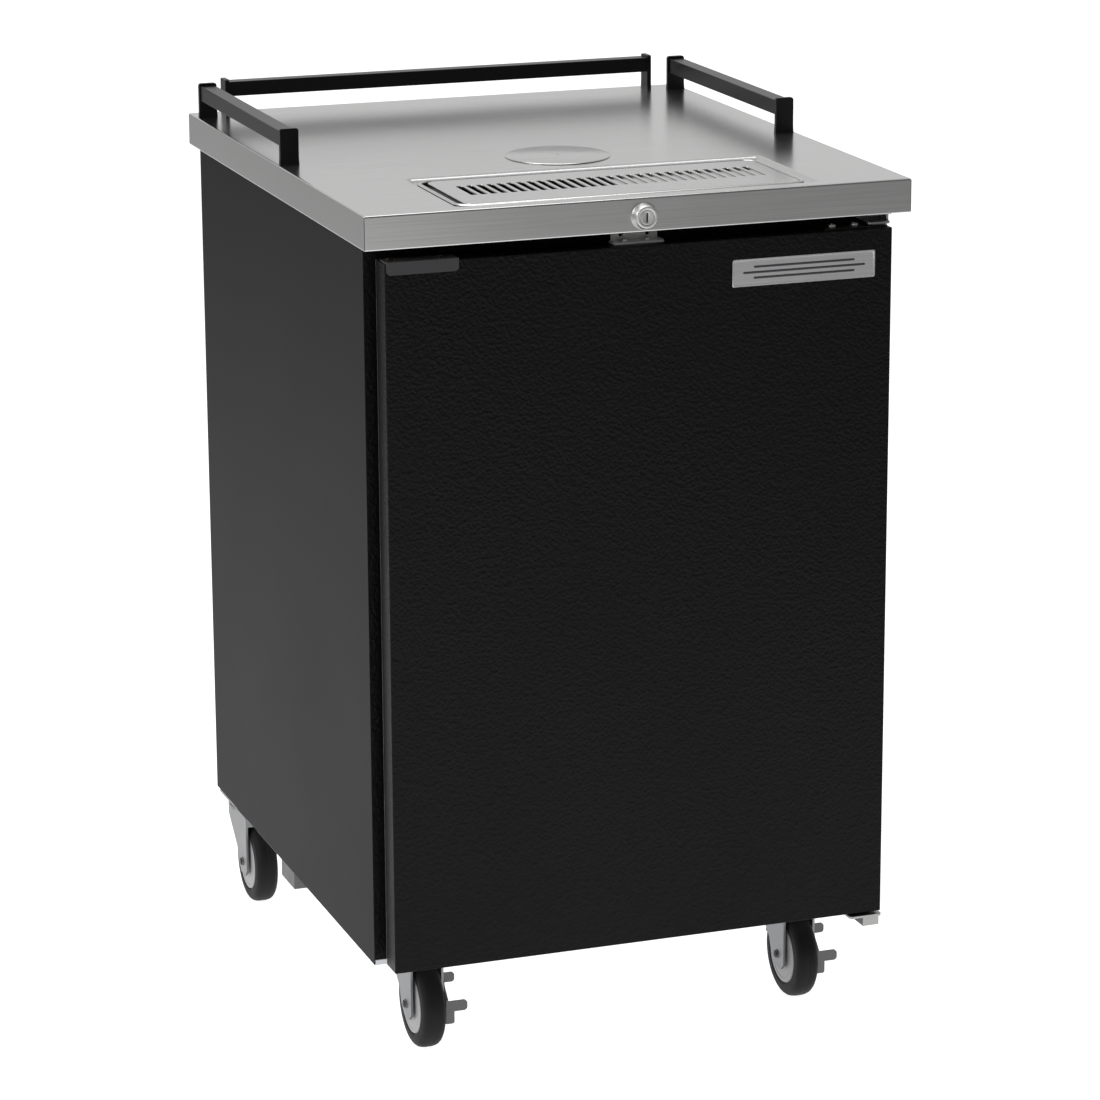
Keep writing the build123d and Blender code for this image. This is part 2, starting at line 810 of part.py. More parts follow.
def make_condensate_tray():
    """The stepped sheet tray under the base: a shelf at the back and a deeper box in front."""
    t = tray_sheet_t
    x0 = -cab_x + 4
    x1 = x0 + tray_box_w
    y0 = front_y + tray_box_front
    y1 = y0 + tray_box_d
    y2 = y1 + tray_shelf_d
    low = base_z - tray_box_h
    shelf = base_z - tray_shelf_drop
    tray = block(x0, x1, y0, y1, low, base_z) + block(x0, x1, y0, y2, shelf, base_z)
    tray -= block(x0 + t, x1 - t, y0 + t, y1 - t, low + t, base_z)
    return tray - block(x0 + t, x1 - t, y0 + t, y2 - t, shelf + t, base_z)


# ---------------------------------------------------------------- door
def make_door_skin():
    """The painted outer pan of the door."""
    skin = block(-door_half, door_half, front_y, door_back, door_bottom, door_top)
    skin = fillet(skin.edges().filter_by(Axis.Z).group_by(Axis.Y)[0], door_edge_r)
    skin = fillet(skin.edges().group_by(Axis.Y)[0], door_edge_r * 0.6)
    inner = door_half - door_skin_t
    skin -= block(
        -inner, inner, front_y + door_skin_t, door_back, door_bottom + door_skin_t, door_top - door_skin_t,
    )
    return skin - door_pin_holes(2 * clearance)


def door_pin_holes(gap):
    """Room for the two hinge pins in the door's top and bottom edges."""
    d = hinge_pin_d + 2 * gap
    deep = hinge_pin_depth + 2
    holes = rod_z(hinge_x, axis_y, door_top - deep, door_top + 1, d)
    return holes + rod_z(hinge_x, axis_y, door_bottom - 1, door_bottom + deep, d)


def make_door_foam():
    """The insulation that fills the door pan and the liner's raised middle."""
    inner = door_half - door_skin_t
    foam = block(
        -inner, inner, front_y + door_skin_t, door_back, door_bottom + door_skin_t, door_top - door_skin_t,
    )
    p = door_plateau_inset + door_liner_t
    foam += block(
        -door_half + p, door_half - p, door_back, door_back + door_plateau, door_bottom + p, door_top - p,
    )
    return foam - door_pin_holes(2 * clearance)


def make_door_liner():
    """The inner door panel with its raised middle."""
    y1 = door_back + door_liner_t
    liner = block(-door_half, door_half, door_back, y1, door_bottom, door_top)
    p = door_plateau_inset
    raised = block(
        -door_half + p, door_half - p, door_back, y1 + door_plateau, door_bottom + p, door_top - p,
    )
    raised = fillet(raised.edges().filter_by(Axis.Y), 8.0)
    q = p + door_liner_t
    hollow = block(
        -door_half + q, door_half - q, door_back, door_back + door_plateau, door_bottom + q, door_top - q,
    )
    return liner + raised - hollow


def make_door_gasket():
    """The magnetic seal: a soft ring between the door and the cabinet's front frame."""
    y0 = door_back + door_liner_t
    y1 = cab_front - clearance
    g = gasket_inset
    ring = block(-door_half + g, door_half - g, y0, y1, door_bottom + g, door_top - g)
    h = g + gasket_w
    ring -= block(-door_half + h, door_half - h, y0, y1, door_bottom + h, door_top - h)
    groove = block(-door_half + g, door_half - g, y0 + 3, y0 + 5.5, door_bottom + g, door_top - g)
    k = g + 2.5
    groove -= block(-door_half + k, door_half - k, y0 + 3, y0 + 5.5, door_bottom + k, door_top - k)
    return ring - groove


def make_door_handle():
    """The plastic finger pull that hooks over the door's top left corner."""
    x0 = -door_half + handle_left
    x1 = x0 + handle_w
    front = front_y - handle_proud
    lip = block(x0, x1, front, front_y, door_top - handle_h, door_top + handle_t)
    lower = lip.edges().filter_by(Axis.Y).group_by(Axis.Z)[0]
    lip = fillet(lower, 4.5)
    top = block(x0, x1, front_y, front_y + handle_top_d, door_top, door_top + handle_t)
    return lip + top


def make_badge():
    """A plain brushed plate with rounded corners."""
    x1 = door_half - badge_right
    z1 = door_top - badge_drop
    plate = RectangleRounded(badge_w, badge_h, 1.2)
    body = extrude(Plane.XZ * plate, badge_t)
    return Pos(x1 - badge_w / 2, front_y, z1 - badge_h / 2) * body


def make_strike():
    """The angle on the door's top that the lock's cam drops in front of."""
    y0 = front_y + 13.0
    lip_y = strike_lip_y()
    foot = plate_z(-strike_w / 2, strike_w / 2, y0, lip_y + strike_t, door_top, door_top + strike_t, 3.0)
    lip = block(
        -strike_lip_w / 2, strike_lip_w / 2, lip_y, lip_y + strike_t,
        door_top, door_top + strike_t + strike_lip_h,
    )
    lip = fillet(lip.edges().filter_by(Axis.Y).group_by(Axis.Z)[-1], 2.0)
    for x in (-15, 15):
        lip -= rod_y(x, lip_y - 1, lip_y + strike_t + 1, door_top + 7.5, 4.5)
    return foot + lip


def cam_y():
    """The front face of the cam, behind the lock's barrel."""
    return front_y + sheet_t + lock_barrel_len


def strike_lip_y():
    return cam_y() + lock_cam_t + strike_lip_gap


def hinge_plate_x():
    return (door_half - 74.0, door_half - 1.5)


def make_hinge_plates():
    """The door-side hinge plates, top and bottom, with their pin holes."""
    x0, x1 = hinge_plate_x()
    plates = plate_z(x0, x1, front_y + 8, door_back - 2, door_top, door_top + hinge_plate_t, 3.0)
    lower = plate_z(x0, x1, front_y + 8, door_back - 2, door_bottom - hinge_plate_t, door_bottom, 3.0)
    bore = hinge_pin_d + 2 * pin_fit
    plates -= rod_z(hinge_x, axis_y, door_top - 1, door_top + 5, bore)
    lower -= rod_z(hinge_x, axis_y, door_bottom - 5, door_bottom + 1, bore)
    return [plates, lower]


def make_door_screws():
    """Screw heads on the door's top: two on the hinge plate, two on the strike, two on the handle."""
    heads = []
    x0 = hinge_plate_x()[0]
    for x in (x0 + 12.5, x0 + 38.5):
        heads.append(screw_head_z(x, axis_y, door_top + hinge_plate_t, 9.0, 2.4))
    for x in (-12.5, 12.5):
        heads.append(screw_head_z(x, strike_lip_y() - 6.0, door_top + strike_t, 6.5, 2.2))
    for x in (-door_half + 9.0, -door_half + 64.0):
        heads.append(screw_head_z(x, front_y + 12.0, door_top + handle_t, 8.0, 2.4))
    return heads


def make_hinge_brackets():
    """The fixed brackets and pins that the door turns on, top and bottom."""
    t = hinge_bracket_t
    x0 = hinge_x - hinge_bracket_w / 2
    x1 = hinge_x + hinge_bracket_w / 2
    low = door_top + hinge_plate_t + 0.8
    arm = block(x0, x1, axis_y - 11, cab_front, low, low + t)
    arm = fillet(arm.edges().filter_by(Axis.Z).group_by(Axis.Y)[0], 5.0)
    web = block(x1 - t, x1, axis_y - 4, cab_front, low, under_z)
    cap = block(x0, x1, axis_y - 11, cab_front, under_z - t, under_z)
    leaf = block(x0, x1, cab_front - 1.0, cab_front, low, under_z)
    pin = rod_z(hinge_x, axis_y, door_top - hinge_pin_depth, low, hinge_pin_d)
    top = arm + web + cap + leaf + pin
    bx0 = hinge_x - bottom_bracket_w + 12
    bx1 = hinge_x + 12
    front = axis_y - 22
    plate = block(bx0, bx1, front, front + bottom_bracket_d, base_z - t, base_z)
    plate = fillet(plate.edges().filter_by(Axis.Z).group_by(Axis.Y)[0], 4.0)
    nose = block(bx0 + 16, bx1 - 3, front + 2, front + 2 + t, base_z - bottom_bracket_h, base_z)
    cheek = block(bx0 + 16, bx0 + 16 + t, front + 2, front + 30, base_z - bottom_bracket_h, base_z)
    nut = rod_z(hinge_x, axis_y, base_z - t - 6, base_z - t, 13.0)
    pin = rod_z(hinge_x, axis_y, base_z - t - 1, door_bottom + hinge_pin_depth, hinge_pin_d)
    return [top, plate + nose + cheek + nut + pin]


# ---------------------------------------------------------------- lock
def make_lock_barrel():
    """The bezel and threaded barrel through the worktop's front apron, with its nut."""
    bezel = Pos(0, front_y, lock_z) * Rot(90, 0, 0) * Pos(0, 0, lock_proud / 2) * Cone(
        lock_base_d / 2, lock_face_d / 2, lock_proud
    )
    bezel = fillet(bezel.edges().filter_by(GeomType.CIRCLE).group_by(Axis.Y)[0], 1.2)
    barrel = rod_y(0, front_y, cam_y() - 0.4, lock_z, lock_barrel_d)
    nut = extrude(Plane.XZ * RegularPolygon(15.0, 6), -5.0)
    nut = Pos(0, front_y + sheet_t, lock_z) * nut
    body = bezel + barrel + nut
    bore = lock_plug_d + 2 * pin_fit
    return body - rod_y(0, front_y - lock_proud - 1, cam_y(), lock_z, bore)


def make_lock_plug():
    """The turning plug with its upright key slot."""
    y0 = front_y - lock_proud + 0.2
    plug = rod_y(0, y0, cam_y(), lock_z, lock_plug_d)
    slot = block(
        -key_slot_w / 2, key_slot_w / 2, y0 - 1, y0 + key_slot_depth,
        lock_z - key_slot_h / 2, lock_z + key_slot_h / 2,
    )
    return plug - slot


def make_lock_cam():
    """The flat cam: level at rest, it drops in front of the strike when the key turns."""
    cam = block(-lock_cam_len, 0, cam_y(), cam_y() + lock_cam_t, lock_z - lock_cam_w / 2, lock_z + lock_cam_w / 2)
    cam = fillet(cam.edges().filter_by(Axis.Y).group_by(Axis.X)[0], 3.0)
    cam += rod_y(0, cam_y(), cam_y() + lock_cam_t, lock_z, 15.0)
    return cam + rod_y(0, cam_y() + lock_cam_t, cam_y() + lock_cam_t + cam_bolt_h, lock_z, 9.0)


# ---------------------------------------------------------------- casters
def crown_z():
    """The top of the turning crown, under the fixed race."""
    return caster_h - caster_plate_t - race_h - crown_gap


def make_caster_plate():
    """Mounting plate, race, kingpin and its nut; they stay still while the fork turns."""
    half_x = caster_plate_w / 2
    half_y = caster_plate_d / 2
    z1 = caster_h
    z0 = z1 - caster_plate_t
    plate = plate_z(-half_x, half_x, -half_y, half_y, z0, z1, 6.0)
    race = rod_z(0, 0, z0 - race_h, z0, race_d)
    race = fillet(race.edges().filter_by(GeomType.CIRCLE).group_by(Axis.Z)[0], 2.5)
    nut_top = crown_z() - crown_t - crown_gap
    pin = rod_z(0, 0, nut_top - kingpin_nut_h, z0, kingpin_d)
    nut = rod_z(0, 0, nut_top - kingpin_nut_h, nut_top, kingpin_nut_d)
    part = plate + race + pin + nut
    for sx in (-1, 1):
        for sy in (-1, 1):
            part += rod_z(sx * (half_x - 8), sy * (half_y - 8), z0 - 4, z0, 9.0)
    return part


def fork_inside():
    return wheel_w / 2 + fork_gap


def make_fork():
    """The pressed fork about the kingpin: crown, two legs and the axle bolt."""
    z1 = crown_z()
    z0 = z1 - crown_t
    inner = fork_inside()
    outer = inner + fork_t
    axle_y = -caster_trail
    axle_z = wheel_r
    front = axle_y - fork_leg_front
    crown = rod_z(0, 0, z0, z1, 2 * fork_crown_r)
    crown += block(-outer, outer, front, 0, z0, z1)
    crown += block(-outer, outer, front, front + fork_t, z0 - fork_lip_h, z0)
    crown = fillet(crown.edges().group_by(Axis.Z)[-1], 1.5)
    outline = [
        (front, axle_z - fork_leg_under / 2), (axle_y - 11, axle_z - fork_leg_under),
        (axle_y + 6, axle_z - fork_leg_under), (axle_y + 16, axle_z - 5),
        (axle_y + 23, axle_z + 13), (axle_y + 59, axle_z + 44),
        (axle_y + 59, z1), (front, z1),
    ]
    fork = crown
    for x0, x1 in ((-outer, -inner), (inner, outer)):
        leg = in_yz(outline, x0, x1)
        fork += fillet(leg.edges().filter_by(Axis.X), 2.0)
    fork -= rod_z(0, 0, z0 - 1, z1 + 1, kingpin_d + 2 * pin_fit)
    bolt = rod_x(-outer - 1, outer + 1, axle_y, axle_z, axle_d)
    for side in (-1, 1):
        middle = side * (outer + axle_head_t / 2)
        bolt += rod_x(middle - axle_head_t / 2, middle + axle_head_t / 2, axle_y, axle_z, axle_head_d)
    return fork + bolt


def make_hub():
    """The grey wheel centre about the wheel's middle, axle along X: a flat disc and its bosses."""
    hub = rod_x(-wheel_w / 2, wheel_w / 2, 0, 0, hub_d)
    hub = chamfer(hub.edges().filter_by(GeomType.CIRCLE), hub_edge_break)
    reach = fork_inside() - boss_gap
    hub += rod_x(-reach, reach, 0, 0, hub_boss_d)
    return hub - rod_x(-wheel_w, wheel_w, 0, 0, axle_d + 2 * pin_fit)


def make_tyre():
    """The rubber tread about the wheel's middle, with rounded shoulders."""
    tyre = rod_x(-wheel_w / 2, wheel_w / 2, 0, 0, wheel_d)
    tyre = fillet(tyre.edges().filter_by(GeomType.CIRCLE), tyre_shoulder_r)
    return tyre - rod_x(-wheel_w / 2, wheel_w / 2, 0, 0, hub_d)


def make_brake():
    """The side brake about the kingpin: a lever plate, two pedals, and the shoe over the tread."""
    x0 = fork_inside() + fork_t + 0.4
    x1 = x0 + brake_t
    ay = -caster_trail
    az = wheel_r
    py, pz = brake_pivot
    front = ay - brake_front
    outline = [
        (front, az - 20), (ay - 17, az - 21), (ay - 2, az - 7),
        (ay + 55, az + 4), (ay + 56, az + 20), (ay + 18, az + 36), (ay - 8, az + 36),
        (ay - 14, az + 20), (ay - 22, az + 12), (front, az + 8),
    ]
    lever = in_yz(outline, x0, x1)
    lower = block(x0, x1 + brake_tab, front, front + brake_t, az - 6, az + 6)
    lower = fillet(lower.edges().filter_by(Axis.Y).group_by(Axis.X)[-1], 4.0)
    toe = block(x0, x1 + brake_toe, front, front + brake_t, az - 20, az)
    toe = fillet(toe.edges().filter_by(Axis.Y).group_by(Axis.Z)[0], 2.5)
    upper = block(x0, x1 + brake_release_tab, ay - 8, ay - 8 + brake_t, az + 22, az + 33)
    upper = fillet(upper.edges().filter_by(Axis.Y).group_by(Axis.X)[-1], 3.5)
    lever += lower + toe + upper
    reach = wheel_r + brake_shoe_gap + 1.25
    sy = ay + reach * cos(radians(brake_shoe_angle))
    sz = az + reach * sin(radians(brake_shoe_angle))
    shoe = Pos(0, sy, sz) * Rot(brake_shoe_angle, 0, 0) * Pos((x1 - 10) / 2, 0, 0) * Box(x1 + 10, 2.5, 12)
    lever += shoe
    pin = rod_x(fork_inside() + fork_t, x1 + 2, ay + py, az + pz, 7.0)
    lever -= rod_x(x0 - 1, x1 + 1, ay + py, az + pz, 7.0 + 2 * pin_fit)
    lever -= rod_x(x0 - 1, x1 + 1, ay, az, axle_head_d + 2 * brake_head_gap)
    return lever, pin


def caster_places():
    """Name, kingpin X and Y, and whether the caster has a brake."""
    front = front_y + front_caster_y
    rear = front_y + rear_caster_y
    return [
        ("front_left", front_caster_shift - front_caster_x, front, True),
        ("front_right", front_caster_shift + front_caster_x, front, True),
        ("rear_left", -rear_caster_x, rear, False),
        ("rear_right", rear_caster_x, rear, False),
    ]


def make_casters():
    """Four casters: plates in one node, and a fork, hub, tyre and perhaps a brake each."""
    nodes = {}
    plates = []
    plate = make_caster_plate()
    fork = make_fork()
    hub = make_hub()
    tyre = make_tyre()
    lever, pin = make_brake()
    for name, x, y, braked in caster_places():
        plates.append(Pos(x, y, 0) * plate)
        shape = fork + pin if braked else fork
        nodes[f"caster_fork_{name}"] = Pos(x, y, 0) * shape
        wheel = Pos(x, y - caster_trail, wheel_r)
        nodes[f"caster_hub_{name}"] = wheel * hub
        nodes[f"caster_tyre_{name}"] = wheel * tyre
        if braked:
            nodes[f"caster_brake_{name}"] = Pos(x, y, 0) * lever
    nodes["caster_plates"] = Compound(plates)
    return nodes


# ---------------------------------------------------------------- fasteners
def make_cabinet_screws():
    """Nine screw heads round and across the back panel."""
    heads = []
    for x in (-shell_x + 12, 0, shell_x - 12):
        for z in (base_z + 20, (base_z + under_z) / 2, under_z - 20):
            head = rod_y(x, cab_back, cab_back + 2.2, z, 8.0)
            heads.append(fillet(head.edges().filter_by(GeomType.CIRCLE).group_by(Axis.Y)[-1], 1.2))
    return heads


def main():
    """Write every node of the kegerator."""
    os.makedirs("parts", exist_ok=True)
    nodes = {
        "worktop": make_worktop(),
        "worktop_core": Compound(make_worktop_core()),
        "drip_pan": make_drip_pan(),
        "drain_tube": make_drain_tube(),
        "drip_grille": make_grille(),
        "tower_cover": make_tower_cover(),
        "tower_sleeve": make_tower_sleeve(),
        "side_panel_left": make_side_panel(-1),
        "side_panel_right": make_side_panel(1),
        "back_panel": make_back_panel(),
        "cord_gland": make_cord_gland(),
        "base_pan": make_base_pan(),
        "front_frame": Compound(make_front_frame()),
        "wall_foam": Compound(make_wall_foam()),
        "cavity_liner": Compound(make_cavity_liner()),
        "bulkhead": make_bulkhead(),
        "floor_rack": make_floor_rack(),
        "evaporator_cover": make_evaporator_cover(),
        "evaporator_coil": make_evaporator_coil(),
        "evaporator_fan": make_evaporator_fan(),
        "thermostat_knob": make_thermostat_knob(),
        "compressor": make_compressor(),
        "condenser_coil": make_condenser_coil(),
        "condenser_shroud": make_condenser_shroud(),
        "condenser_fan": make_condenser_fan(),
        "refrigerant_lines": Compound(make_refrigerant_lines()),
        "condensate_tray": make_condensate_tray(),
        "door_skin": make_door_skin(),
        "door_foam": make_door_foam(),
        "door_liner": make_door_liner(),
        "door_gasket": make_door_gasket(),
        "door_handle": make_door_handle(),
        "door_badge": make_badge(),
        "door_strike": make_strike(),
        "door_hinge_plates": Compound(make_hinge_plates()),
        "door_screws": Compound(make_door_screws()),
        "hinge_brackets": Compound(make_hinge_brackets()),
        "lock_barrel": make_lock_barrel(),
        "lock_plug": make_lock_plug(),
        "lock_cam": make_lock_cam(),
        "cabinet_screws": Compound(make_cabinet_screws()),
    }
    nodes.update(make_rails())
    nodes.update(make_casters())
    for name, shape in nodes.items():
        save(name, shape)


main()
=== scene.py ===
import json
from math import cos, pi, radians, sin

import bmesh
import bpy
from mathutils import Matrix, Vector


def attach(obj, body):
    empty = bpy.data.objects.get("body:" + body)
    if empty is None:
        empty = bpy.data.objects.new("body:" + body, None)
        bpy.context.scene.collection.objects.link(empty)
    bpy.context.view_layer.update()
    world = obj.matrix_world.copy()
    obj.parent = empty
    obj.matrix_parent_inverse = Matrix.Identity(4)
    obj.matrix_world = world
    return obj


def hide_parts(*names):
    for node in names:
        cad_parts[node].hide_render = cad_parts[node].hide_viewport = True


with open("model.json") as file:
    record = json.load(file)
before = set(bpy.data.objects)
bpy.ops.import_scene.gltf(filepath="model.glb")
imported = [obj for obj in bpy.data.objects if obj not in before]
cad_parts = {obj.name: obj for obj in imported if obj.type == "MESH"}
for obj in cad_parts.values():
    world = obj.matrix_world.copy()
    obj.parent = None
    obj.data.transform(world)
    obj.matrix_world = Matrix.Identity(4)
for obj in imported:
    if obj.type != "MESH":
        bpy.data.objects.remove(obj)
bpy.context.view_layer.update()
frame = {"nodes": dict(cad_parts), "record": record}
nodes = frame["nodes"]

# Sizes are in millimetres from here on, and MM turns them into the scene's metres.
MM = 0.001
HALF_W = 305
FRONT_Y = -343
BACK_Y = 353
TOP_Z = 950
DISH_Z = 947.05
TOWER_Y = -76
LOCK_Z = 930
FAN_Z = 823.5
KNOB_X = 145
WHEEL_Z = 50
CASTER_TRAIL = 40


# ---------------------------------------------------------------- camera
def make_camera():
    """A long lens from the front left, a little above the worktop."""
    yaw = radians(19.55)
    pitch = radians(15.35)
    roll = radians(-0.27)
    ahead = Vector((sin(yaw) * cos(pitch), cos(yaw) * cos(pitch), -sin(pitch)))
    level = Vector((cos(yaw), -sin(yaw), 0.0))
    lift = level.cross(ahead)
    right = level * cos(roll) + lift * sin(roll)
    up = right.cross(ahead)
    data = bpy.data.cameras.new("camera")
    data.sensor_width = 36.0
    data.lens = 134.8
    data.clip_end = 200.0
    camera = bpy.data.objects.new("camera", data)
    turn = Matrix((right, up, -ahead)).transposed().to_4x4()
    camera.matrix_world = Matrix.Translation((-1.5103, -4.2984, 1.7313)) @ turn
    bpy.context.scene.collection.objects.link(camera)
    bpy.context.scene.camera = camera


# ---------------------------------------------------------------- node helpers
class Shader:
    """A material being built: a Principled shader with short calls for its textures."""

    def __init__(self, name, base, rough, metal=0.0, spec=0.5):
        self.mat = bpy.data.materials.new(name)
        self.mat.use_nodes = True
        self.tree = self.mat.node_tree
        self.bsdf = self.tree.nodes["Principled BSDF"]
        self.bsdf.inputs["Base Color"].default_value = (*base, 1.0)
        self.bsdf.inputs["Roughness"].default_value = rough
        self.bsdf.inputs["Metallic"].default_value = metal
        self.bsdf.inputs["Specular IOR Level"].default_value = spec
        self.bumps = []

    def node(self, kind, **values):
        made = self.tree.nodes.new(kind)
        for key, value in values.items():
            setattr(made, key, value)
        return made

    def link(self, out, into):
        self.tree.links.new(out, into)

    def place(self, scale=(1, 1, 1), turn=(0, 0, 0)):
        """Object coordinates, stretched by scale."""
        coord = self.node("ShaderNodeTexCoord")
        mapping = self.node("ShaderNodeMapping")
        mapping.inputs["Scale"].default_value = scale
        mapping.inputs["Rotation"].default_value = turn
        self.link(coord.outputs["Object"], mapping.inputs["Vector"])
        return mapping.outputs["Vector"]

    def noise(self, scale, where=None, detail=3.0, rough=0.5):
        tex = self.node("ShaderNodeTexNoise")
        tex.inputs["Scale"].default_value = scale
        tex.inputs["Detail"].default_value = detail
        tex.inputs["Roughness"].default_value = rough
        self.link(where or self.place(), tex.inputs["Vector"])
        return tex.outputs["Fac"]

    def voronoi(self, scale, where=None, feature="F1", output="Distance"):
        tex = self.node("ShaderNodeTexVoronoi", feature=feature)
        tex.inputs["Scale"].default_value = scale
        self.link(where or self.place(), tex.inputs["Vector"])
        return tex.outputs[output]

    def span(self, value, low, high, from_low=0.0, from_high=1.0):
        """Stretches a value between two limits onto low..high."""
        made = self.node("ShaderNodeMapRange")
        made.inputs["From Min"].default_value = from_low
        made.inputs["From Max"].default_value = from_high
        made.inputs["To Min"].default_value = low
        made.inputs["To Max"].default_value = high
        self.link(value, made.inputs["Value"])
        return made.outputs["Result"]

    def rough(self, value, low, high, from_low=0.3, from_high=0.7):
        self.link(self.span(value, low, high, from_low, from_high), self.bsdf.inputs["Roughness"])

    def colour(self, value, low, high, from_low=0.3, from_high=0.7):
        """Colour between low and high by value."""
        ramp = self.node("ShaderNodeMix", data_type="RGBA")
        ramp.inputs["A"].default_value = (*low, 1.0)
        ramp.inputs["B"].default_value = (*high, 1.0)
        self.link(self.span(value, 0.0, 1.0, from_low, from_high), ramp.inputs["Factor"])
        self.link(ramp.outputs["Result"], self.bsdf.inputs["Base Color"])

    def bump(self, value, strength, distance):
        made = self.node("ShaderNodeBump")
        made.inputs["Strength"].default_value = strength
        made.inputs["Distance"].default_value = distance
        self.link(value, made.inputs["Height"])
        if self.bumps:
            self.link(self.bumps[-1].outputs["Normal"], made.inputs["Normal"])
        self.bumps.append(made)
        self.link(made.outputs["Normal"], self.bsdf.inputs["Normal"])


def grey(value):
    return (value, value, value)


# ---------------------------------------------------------------- materials
def brushed(name, base, rough, along, depth=0.00002):
    """Brushed steel: long fine scratches along one axis, with faint smears."""
    shader = Shader(name, base, rough, metal=1.0)
    stretch = [900.0, 900.0, 900.0]
    stretch["XYZ".index(along)] = 7.0
    grain = shader.noise(1.0, shader.place(stretch), detail=4.0, rough=0.65)
    smear = shader.noise(5.0, detail=4.0, rough=0.6)
    shader.rough(smear, rough - 0.01, rough + 0.02)
    shader.colour(grain, [c * 0.90 for c in base], [min(1.0, c * 1.08) for c in base])
    shader.bump(grain, 0.35, depth)
    return shader.mat


def pebbled_paint(name, base, rough, cell, depth, spec=0.3):
    """Black coated steel with a fine leather-like pebble."""
    shader = Shader(name, base, rough, spec=spec)
    warp = shader.noise(cell * 0.5, detail=2.0)
    cells = shader.voronoi(cell, feature="SMOOTH_F1")
    fine = shader.noise(cell * 2.2, detail=3.0)
    cloud = shader.noise(4.0, detail=5.0, rough=0.6)
    shader.rough(cloud, rough - 0.05, rough + 0.07)
    shader.colour(warp, [c * 0.75 for c in base], [c * 1.3 for c in base])
    shader.bump(cells, 0.8, depth)
    shader.bump(fine, 0.35, depth * 0.5)
    return shader.mat


def satin_paint(name, base, rough, spec=0.5):
    """Smooth powder coat with a slight orange peel."""
    shader = Shader(name, base, rough, spec=spec)
    peel = shader.noise(420.0, detail=2.0)
    cloud = shader.noise(3.5, detail=5.0, rough=0.6)
    shader.rough(cloud, rough - 0.015, rough + 0.02)
    shader.colour(cloud, [c * 0.95 for c in base], [c * 1.05 for c in base])
    shader.bump(peel, 0.2, 0.00008)
    return shader.mat


def plated(name, base, rough, depth=0.00003):
    """Bright or zinc plating, with pressing marks and fine pits."""
    shader = Shader(name, base, rough, metal=1.0)
    pits = shader.noise(900.0, detail=3.0)
    patch = shader.noise(45.0, detail=4.0, rough=0.65)
    shader.rough(patch, rough - 0.06, rough + 0.10)
    shader.colour(patch, [c * 0.86 for c in base], [min(1.0, c * 1.08) for c in base])
    shader.bump(pits, 0.4, depth)
    return shader.mat


def galvanised(name):
    """Zinc-coated sheet with its crystal spangle."""
    shader = Shader(name, grey(0.5), 0.42, metal=0.9)
    spangle = shader.voronoi(90.0, output="Color")
    shader.colour(spangle, (0.42, 0.43, 0.45), (0.58, 0.59, 0.61), 0.0, 1.0)
    shader.rough(spangle, 0.34, 0.5, 0.0, 1.0)
    shader.bump(shader.noise(260.0), 0.2, 0.0001)
    return shader.mat


def moulded(name, base, rough, spec=0.5, grain=700.0, depth=0.00006):
    """Moulded plastic with a fine spark-eroded grain."""
    shader = Shader(name, base, rough, spec=spec)
    fine = shader.noise(grain, detail=3.0)
    cloud = shader.noise(20.0, detail=4.0)
    shader.rough(cloud, rough - 0.05, rough + 0.08)
    shader.colour(cloud, [c * 0.92 for c in base], [min(1.0, c * 1.06) for c in base])
    shader.bump(fine, 0.4, depth)
    return shader.mat


def tyre_rubber(name):
    """Black tread rubber: dusty in patches, with fine pores."""
    shader = Shader(name, grey(0.007), 0.55, spec=0.2)
    dust = shader.noise(30.0, detail=6.0, rough=0.7)
    shader.colour(dust, grey(0.005), (0.014, 0.0135, 0.013), 0.35, 0.75)
    shader.rough(dust, 0.48, 0.75)
    shader.bump(shader.noise(1100.0, detail=2.0), 0.5, 0.00008)
    return shader.mat


def foam(name):
    shader = Shader(name, (0.78, 0.70, 0.48), 0.9)
    cells = shader.voronoi(700.0)
    shader.colour(cells, (0.80, 0.72, 0.50), (0.62, 0.54, 0.36), 0.0, 0.8)
    shader.bump(cells, 0.6, 0.0003)
    return shader.mat


def board(name):
    """Plywood: grain along X, with darker early wood."""
    shader = Shader(name, (0.42, 0.29, 0.17), 0.75)
    grain = shader.noise(1.0, shader.place((6.0, 90.0, 220.0)), detail=5.0, rough=0.6)
    shader.colour(grain, (0.34, 0.22, 0.12), (0.52, 0.38, 0.24))
    shader.bump(grain, 0.3, 0.0002)
    return shader.mat


